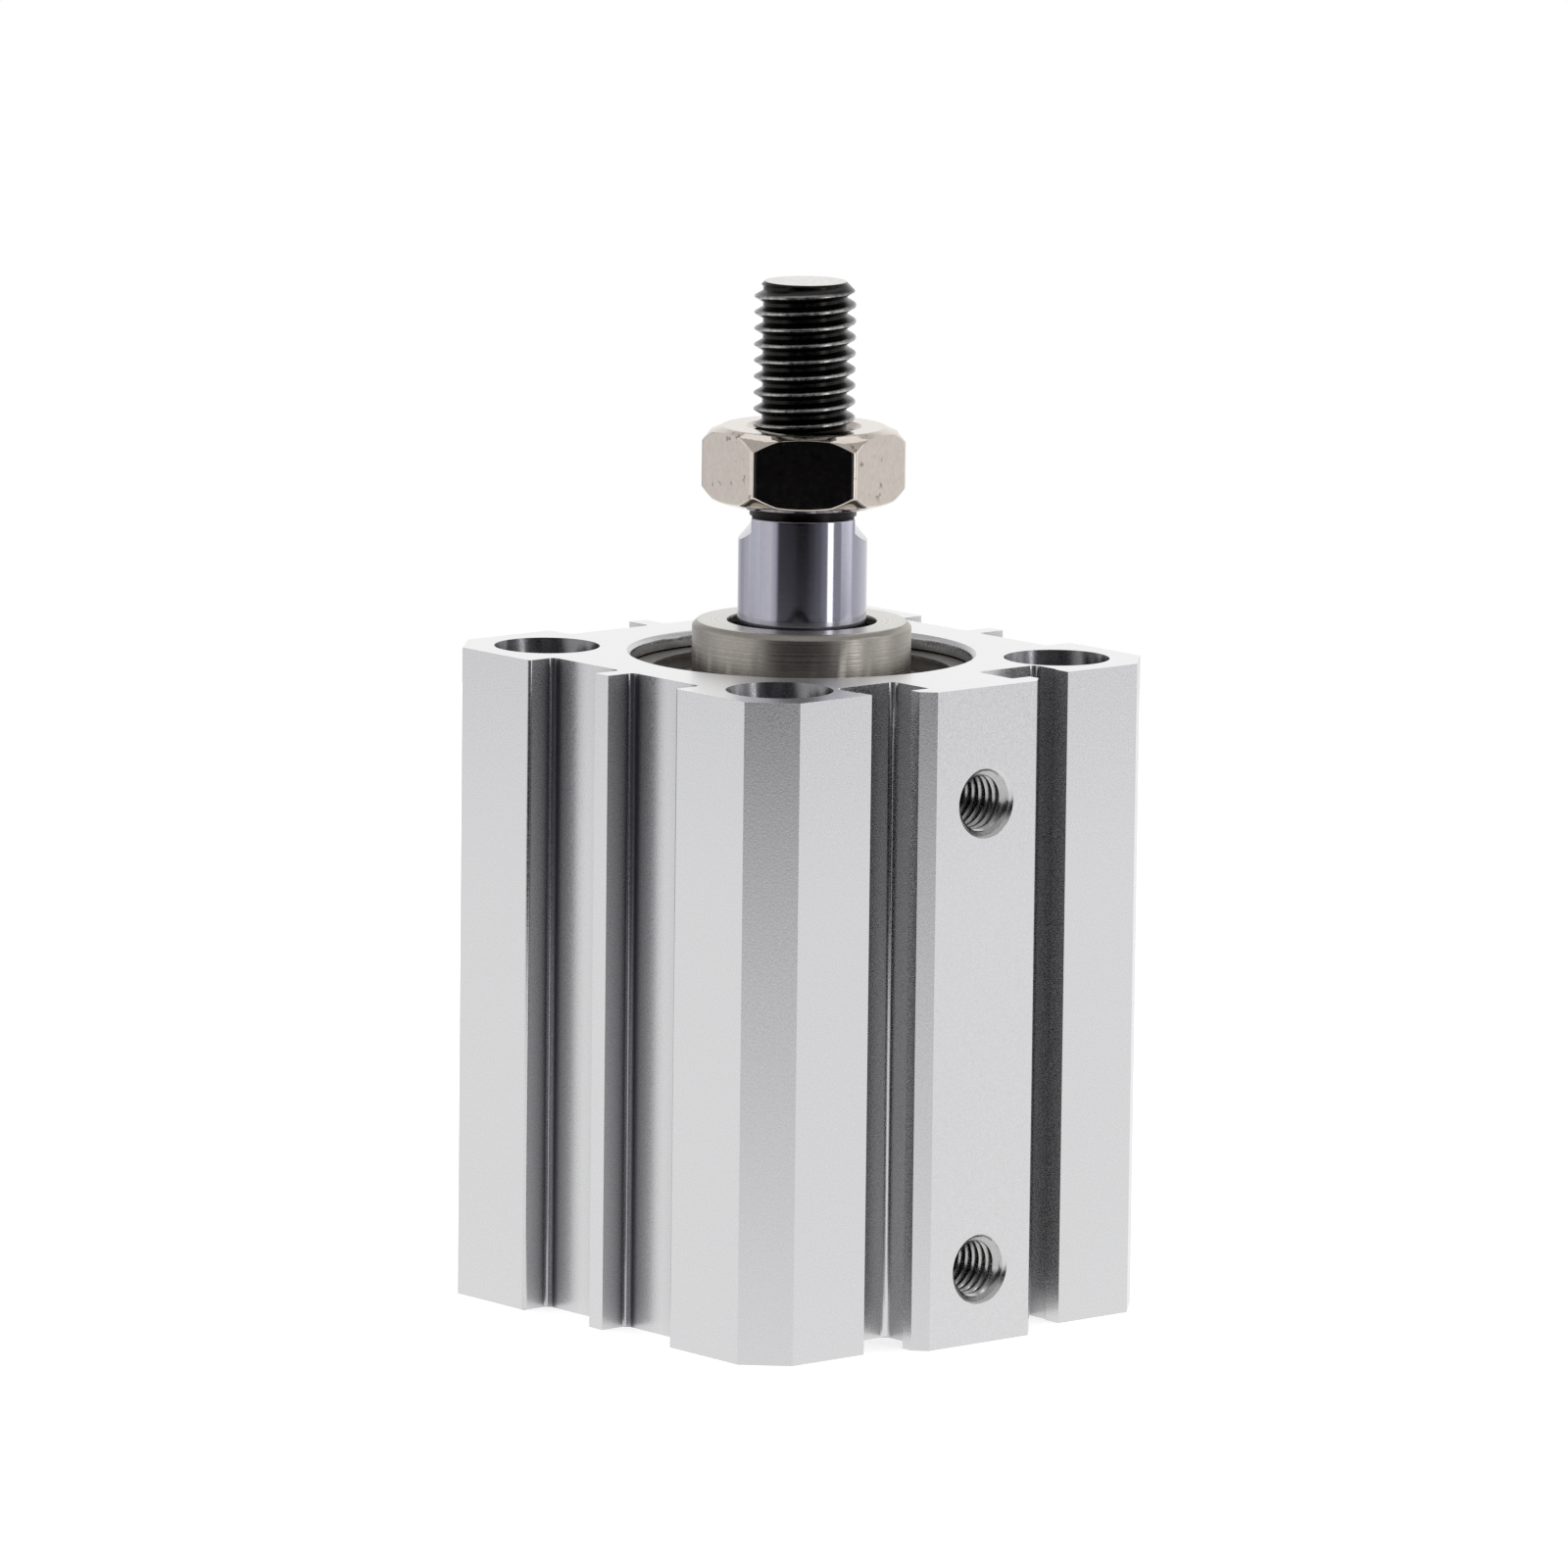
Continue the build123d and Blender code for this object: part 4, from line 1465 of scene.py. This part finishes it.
@dataclass(frozen=True)
class LockNut:
    """Hexagon nut with both faces chamfered, so that each flat ends in an arc."""

    turn_degrees: float = -40.0
    bottom: float = NUT_BOTTOM
    top: float = NUT_TOP
    half_flats: float = 6.9
    face_radius: float = 6.3
    crown_radius: float = 7.2
    crown_drop: float = 0.4
    corner_drop: float = 1.3
    corner_radius: float = 0.6
    hole_radius: float = 4.05
    countersink: float = 0.45
    edge: float = 0.1

    CROWN_STEPS = 6
    CROWN_STOPS_AT = 0.6
    COLUMNS = 360

    def hexagon_reach(self, angle: float) -> float:
        """Returns the rounded hexagon's radius at an angle, in millimetres.

        Args:
            angle: angle round Z in radians.

        Returns:
            The radius in millimetres.
        """
        sixth = math.pi / 3
        turned = angle - math.radians(self.turn_degrees)
        from_corner = (turned + sixth / 2) % sixth - sixth / 2
        centre = (self.half_flats - self.corner_radius) / math.cos(sixth / 2)
        tangent = math.atan2(
            self.corner_radius * math.sin(sixth / 2),
            centre + self.corner_radius * math.cos(sixth / 2),
        )
        if abs(from_corner) < tangent:
            swing = centre * math.sin(from_corner)
            return centre * math.cos(from_corner) + math.sqrt(
                self.corner_radius**2 - swing**2
            )
        return self.half_flats / math.cos(sixth / 2 - abs(from_corner))

    def drop_at(self, radius: float) -> float:
        """Returns how far the crowned face has dropped at a radius.

        Args:
            radius: distance from the axis in millimetres.

        Returns:
            The drop in millimetres.
        """
        crown = self.crown_radius - self.face_radius
        rim = self.half_flats / math.cos(math.pi / 6) - self.crown_radius
        inner = min(max((radius - self.face_radius) / crown, 0.0), 1.0)
        outer = max((radius - self.crown_radius) / rim, 0.0)
        rise = self.corner_drop - self.crown_drop
        return self.crown_drop * inner + rise * outer

    def crown_radii(self, reach: float) -> list[float]:
        """Returns radii across the crowned face, up to near its edge.

        Args:
            reach: the hexagon's radius there, in millimetres.

        Returns:
            The radii in millimetres, from the inner one.
        """
        last = reach - self.edge * self.CROWN_STOPS_AT
        return [
            self.face_radius + (last - self.face_radius) * step / self.CROWN_STEPS
            for step in range(1, self.CROWN_STEPS + 1)
        ]

    def outline(self, angle: float) -> Outline:
        """Returns the nut's closed outline at an angle.

        Args:
            angle: angle round Z in radians.

        Returns:
            (radius, height) points in millimetres.
        """
        reach = self.hexagon_reach(angle)
        drop = self.drop_at(reach)
        edge = self.edge
        mouth = self.hole_radius + self.countersink
        half = [
            (self.hole_radius, self.countersink),
            (mouth, 0.0),
            (mouth + edge, 0.0),
            (self.face_radius - edge, 0.0),
            (self.face_radius, 0.0),
            *((r, self.drop_at(r)) for r in self.crown_radii(reach)),
            (reach - edge * 0.25, drop - edge * 0.1),
            (reach, drop + edge * 0.4),
            (reach, drop + edge * 1.2),
        ]
        low = [(radius, self.bottom + height) for radius, height in half]
        high = [(radius, self.top - height) for radius, height in reversed(half)]
        return low + high

    def build(self) -> None:
        """Builds the nut, which stands for its plainer solid."""
        nut = swept_outline(self.outline, even_columns(self.COLUMNS), closed=True)
        piece = new_piece("hexagon_nut", nut, BRIGHT_NICKEL, Body.NUT)
        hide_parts("lock_nut")


@dataclass(frozen=True)
class Lamp:
    """A soft box, placed by its angles in degrees from the camera's direction.

    Its distance, width and height are in metres.
    """

    name: str
    to_the_right: float
    rise: float
    distance: float
    width: float
    height: float
    radiance: float
    colour: str = "#FFFFFF"


LAMPS = (
    Lamp("left_soft_box", -98, 18, 0.55, width=0.34, height=0.50, radiance=0.24),
    Lamp("right_soft_box", 86, 18, 0.55, width=0.28, height=0.50, radiance=0.72),
    Lamp("right_strip", 51, 4, 0.60, width=0.11, height=0.60, radiance=2.6),
    Lamp("overhead_soft_box", 170, 62, 0.60, width=0.50, height=0.40, radiance=0.55),
)

# Greys of the room round the object: degrees to the right of the camera's own
# direction, seen from the object, and how light the wall is there.
ROOM_WALLS = (
    (-180, 1.00),
    (-137, 0.58),
    (-120, 0.80),
    (-100, 0.72),
    (-71, 0.95),
    (-60, 1.00),
    (-50, 0.70),
    (-42, 0.05),
    (-16, 0.03),
    (-6, 0.005),
    (6, 0.005),
    (16, 0.05),
    (28, 0.13),
    (42, 0.30),
    (66, 0.42),
    (80, 0.40),
    (97, 0.74),
    (110, 0.78),
    (137, 0.98),
    (180, 1.00),
)

# Greys of the floor as polished metal shows it: metres from the object towards the
# camera, and how light the floor is there.
FLOOR_GREYS = (
    (-0.10, 0.93),
    (0.00, 0.92),
    (0.05, 0.89),
    (0.12, 0.82),
    (0.18, 0.78),
    (0.26, 0.78),
    (0.31, 0.76),
)


@dataclass(frozen=True)
class Studio:
    """Plain floor, soft lamps and the camera of the product picture.

    Angles are in degrees round Z. The camera stands at the given azimuth, counted
    from -Y towards +X, and the lamps are placed from the camera's own direction.
    """

    azimuth: float = -40.24
    elevation: float = 9.21
    roll: float = 0.66
    distance: float = 0.98994
    lens: float = 292.5
    aim_height: float = 0.030
    aim_right: float = -0.001108
    aim_up: float = 0.010468
    sensor_width: float = 36.0
    nearest_seen: float = 0.01
    lamp_aim_height: float = 0.035
    floor_radius: float = 0.315
    floor_segments: int = 96
    floor_gap: float = 0.00002
    clear_reach: float = 0.0001
    floor_colour: str = "#E8E8E6"
    floor_glow: float = 0.72
    floor_gloss: float = 1.2
    ceiling: tuple[float, float, float, float] = (0.55, 0.55, 0.56, 1)
    ceiling_from: float = 0.3
    ceiling_full: float = 0.7

    def camera_axes(self) -> tuple[Vector, Vector, Vector]:
        """Returns the camera's right, up and back directions, roll included.

        Returns:
            The three directions, each of length one.
        """
        around, roll = math.radians(self.azimuth), math.radians(self.roll)
        back = self.direction(0, self.elevation)
        right = Vector((math.cos(around), math.sin(around), 0))
        up = back.cross(right)
        level_right = math.cos(roll) * right + math.sin(roll) * up
        level_up = -math.sin(roll) * right + math.cos(roll) * up
        return level_right, level_up, back

    def build_camera(self) -> None:
        """Places the camera where the picture was taken from."""
        right, up, back = self.camera_axes()
        data = bpy.data.cameras.new("product_camera")
        data.lens = self.lens
        data.sensor_width = self.sensor_width
        data.clip_start = self.nearest_seen
        camera = in_scene("product_camera", data)
        place = Vector((0, 0, self.aim_height))
        place += self.aim_right * right + self.aim_up * up + self.distance * back
        turned = Matrix((right, up, back)).transposed().to_4x4()
        camera.matrix_world = Matrix.Translation(place) @ turned
        bpy.context.scene.camera = camera

    def board(self, tree: Tree, path: Node) -> Socket:
        """Adds the white board, which glows a little to the eye alone.

        Args:
            tree: node tree that gets the nodes.
            path: the Light Path node.

        Returns:
            The board's shader.
        """
        glow = add_node(
            tree,
            "ShaderNodeMath",
            {"operation": "MULTIPLY"},
            {0: path.outputs["Is Camera Ray"], 1: self.floor_glow},
        )
        board = add_node(
            tree,
            "ShaderNodeBsdfDiffuse",
            inputs={"Color": linear(self.floor_colour)},
        )
        light = add_node(
            tree,
            "ShaderNodeEmission",
            inputs={"Color": (1, 1, 1, 1), "Strength": glow.outputs[0]},
        )
        return add_node(
            tree,
            "ShaderNodeAddShader",
            inputs={0: board.outputs[0], 1: light.outputs[0]},
        ).outputs[0]

    def floor_in_gloss(self, tree: Tree) -> Socket:
        """Adds the floor as polished metal shows it, shaded towards the camera.

        Args:
            tree: node tree that gets the nodes.

        Returns:
            The shader.
        """
        place = add_node(tree, "ShaderNodeTexCoord")
        towards_front = add_node(
            tree,
            "ShaderNodeVectorMath",
            {"operation": "DOT_PRODUCT"},
            {0: place.outputs["Object"], 1: self.direction(0, 0)},
        )
        across = add_node(
            tree,
            "ShaderNodeMapRange",
            inputs={
                "Value": towards_front.outputs["Value"],
                "From Min": -self.floor_radius,
                "From Max": self.floor_radius,
            },
        )
        stops = [
            (0.5 + distance / self.floor_radius / 2, grey)
            for distance, grey in FLOOR_GREYS
        ]
        shade = grey_ramp(tree, across.outputs["Result"], stops)
        return add_node(
            tree,
            "ShaderNodeEmission",
            inputs={"Color": shade, "Strength": self.floor_gloss},
        ).outputs[0]

    def floor_material(self) -> bpy.types.Material:
        """Builds the floor's material.

        The floor is clear from below. It is also clear to rays that start within
        reach of it, so that the object's bottom face mirrors the room below it.

        Returns:
            The material.
        """
        material = bpy.data.materials.new("matt_white_board")
        tree = fresh_tree(material)
        path = add_node(tree, "ShaderNodeLightPath")
        shown = add_node(
            tree,
            "ShaderNodeMixShader",
            inputs={
                0: path.outputs["Is Glossy Ray"],
                1: self.board(tree, path),
                2: self.floor_in_gloss(tree),
            },
        )
        under_object = add_node(
            tree,
            "ShaderNodeMath",
            {"operation": "LESS_THAN"},
            {0: path.outputs["Ray Length"], 1: self.clear_reach},
        )
        from_below = add_node(
            tree,
            "ShaderNodeMath",
            {"operation": "MAXIMUM"},
            {
                0: add_node(tree, "ShaderNodeNewGeometry").outputs["Backfacing"],
                1: under_object.outputs[0],
            },
        ).outputs[0]
        clear = add_node(tree, "ShaderNodeBsdfTransparent")
        one_sided = add_node(
            tree,
            "ShaderNodeMixShader",
            inputs={0: from_below, 1: shown.outputs[0], 2: clear.outputs[0]},
        )
        add_node(
            tree, "ShaderNodeOutputMaterial", inputs={"Surface": one_sided.outputs[0]}
        )
        return material

    def build_floor(self) -> None:
        """Lays a round pale floor that the object stands on."""
        mesh = bmesh.new()
        bmesh.ops.create_circle(
            mesh,
            cap_ends=True,
            radius=self.floor_radius,
            segments=self.floor_segments,
            matrix=Matrix.Translation((0, 0, -self.floor_gap)),
        )
        data = bpy.data.meshes.new("floor")
        mesh.to_mesh(data)
        mesh.free()
        data.materials.append(self.floor_material())
        floor = in_scene("floor", data)

    def direction(self, to_the_right: float, rise: float) -> Vector:
        """Returns a direction given by its angles from the camera's own.

        Args:
            to_the_right: degrees to the right of the camera's own.
            rise: degrees above the level.

        Returns:
            A direction of length one.
        """
        around = math.radians(self.azimuth + to_the_right)
        lift = math.radians(rise)
        return Vector(
            (
                math.sin(around) * math.cos(lift),
                -math.cos(around) * math.cos(lift),
                math.sin(lift),
            )
        )

    def build_lamps(self) -> None:
        """Hangs the soft lamps round the object."""
        target = Vector((0, 0, self.lamp_aim_height))
        for lamp in LAMPS:
            data = bpy.data.lights.new(lamp.name, "AREA")
            data.shape = "RECTANGLE"
            data.size = lamp.width
            data.size_y = lamp.height
            data.energy = lamp.radiance * math.pi * lamp.width * lamp.height
            data.color = linear(lamp.colour)[:3]
            holder = in_scene(lamp.name, data)
            way = self.direction(lamp.to_the_right, lamp.rise)
            holder.location = target + way * lamp.distance
            holder.rotation_euler = way.to_track_quat("Z", "Y").to_euler()

    def build_surroundings(self) -> None:
        """Sets the room: white to the eye, with darker and lighter walls in gloss."""
        world = bpy.data.worlds.new("studio_room")
        bpy.context.scene.world = world
        tree = fresh_tree(world)
        way = add_node(tree, "ShaderNodeTexCoord").outputs["Generated"]
        parts = [
            add_node(
                tree,
                "ShaderNodeVectorMath",
                {"operation": "DOT_PRODUCT"},
                {0: way, 1: axis},
            ).outputs["Value"]
            for axis in (self.direction(90, 0), self.direction(0, 0))
        ]
        around = add_node(
            tree,
            "ShaderNodeMath",
            {"operation": "ARCTAN2"},
            {0: parts[0], 1: parts[1]},
        )
        share = add_node(
            tree,
            "ShaderNodeMapRange",
            inputs={
                "Value": around.outputs[0],
                "From Min": -math.pi,
                "From Max": math.pi,
            },
        )
        stops = [((angle + 180) / 360, grey) for angle, grey in ROOM_WALLS]
        walls = grey_ramp(tree, share.outputs["Result"], stops)
        height = add_node(tree, "ShaderNodeSeparateXYZ", inputs={0: way}).outputs["Z"]
        overhead = add_node(
            tree,
            "ShaderNodeMapRange",
            {"interpolation_type": "SMOOTHSTEP"},
            {
                "Value": height,
                "From Min": self.ceiling_from,
                "From Max": self.ceiling_full,
            },
        )
        room = mix_colours(tree, overhead.outputs["Result"], walls, self.ceiling)
        path = add_node(tree, "ShaderNodeLightPath")
        shown = mix_colours(tree, path.outputs["Is Camera Ray"], room, (1, 1, 1, 1))
        back = add_node(
            tree, "ShaderNodeBackground", inputs={"Color": shown, "Strength": 1.0}
        )
        add_node(
            tree, "ShaderNodeOutputWorld", inputs={"Surface": back.outputs[0]}
        )

    def build(self) -> None:
        """Builds the whole studio."""
        self.build_camera()
        self.build_floor()
        self.build_lamps()
        self.build_surroundings()
        bpy.context.scene.view_settings.view_transform = "Standard"
        LOG.info("studio is set")


def main() -> None:
    """Builds every sub-assembly in order, then the studio."""
    logging.basicConfig(level=logging.INFO, format="%(name)s: %(message)s")
    barrel = Barrel()
    barrel.build()
    barrel.dress()
    Covers().dress()
    Rod().build()
    Piston().dress()
    LockNut().build()
    Studio().build()


if __name__ == "__main__":
    main()
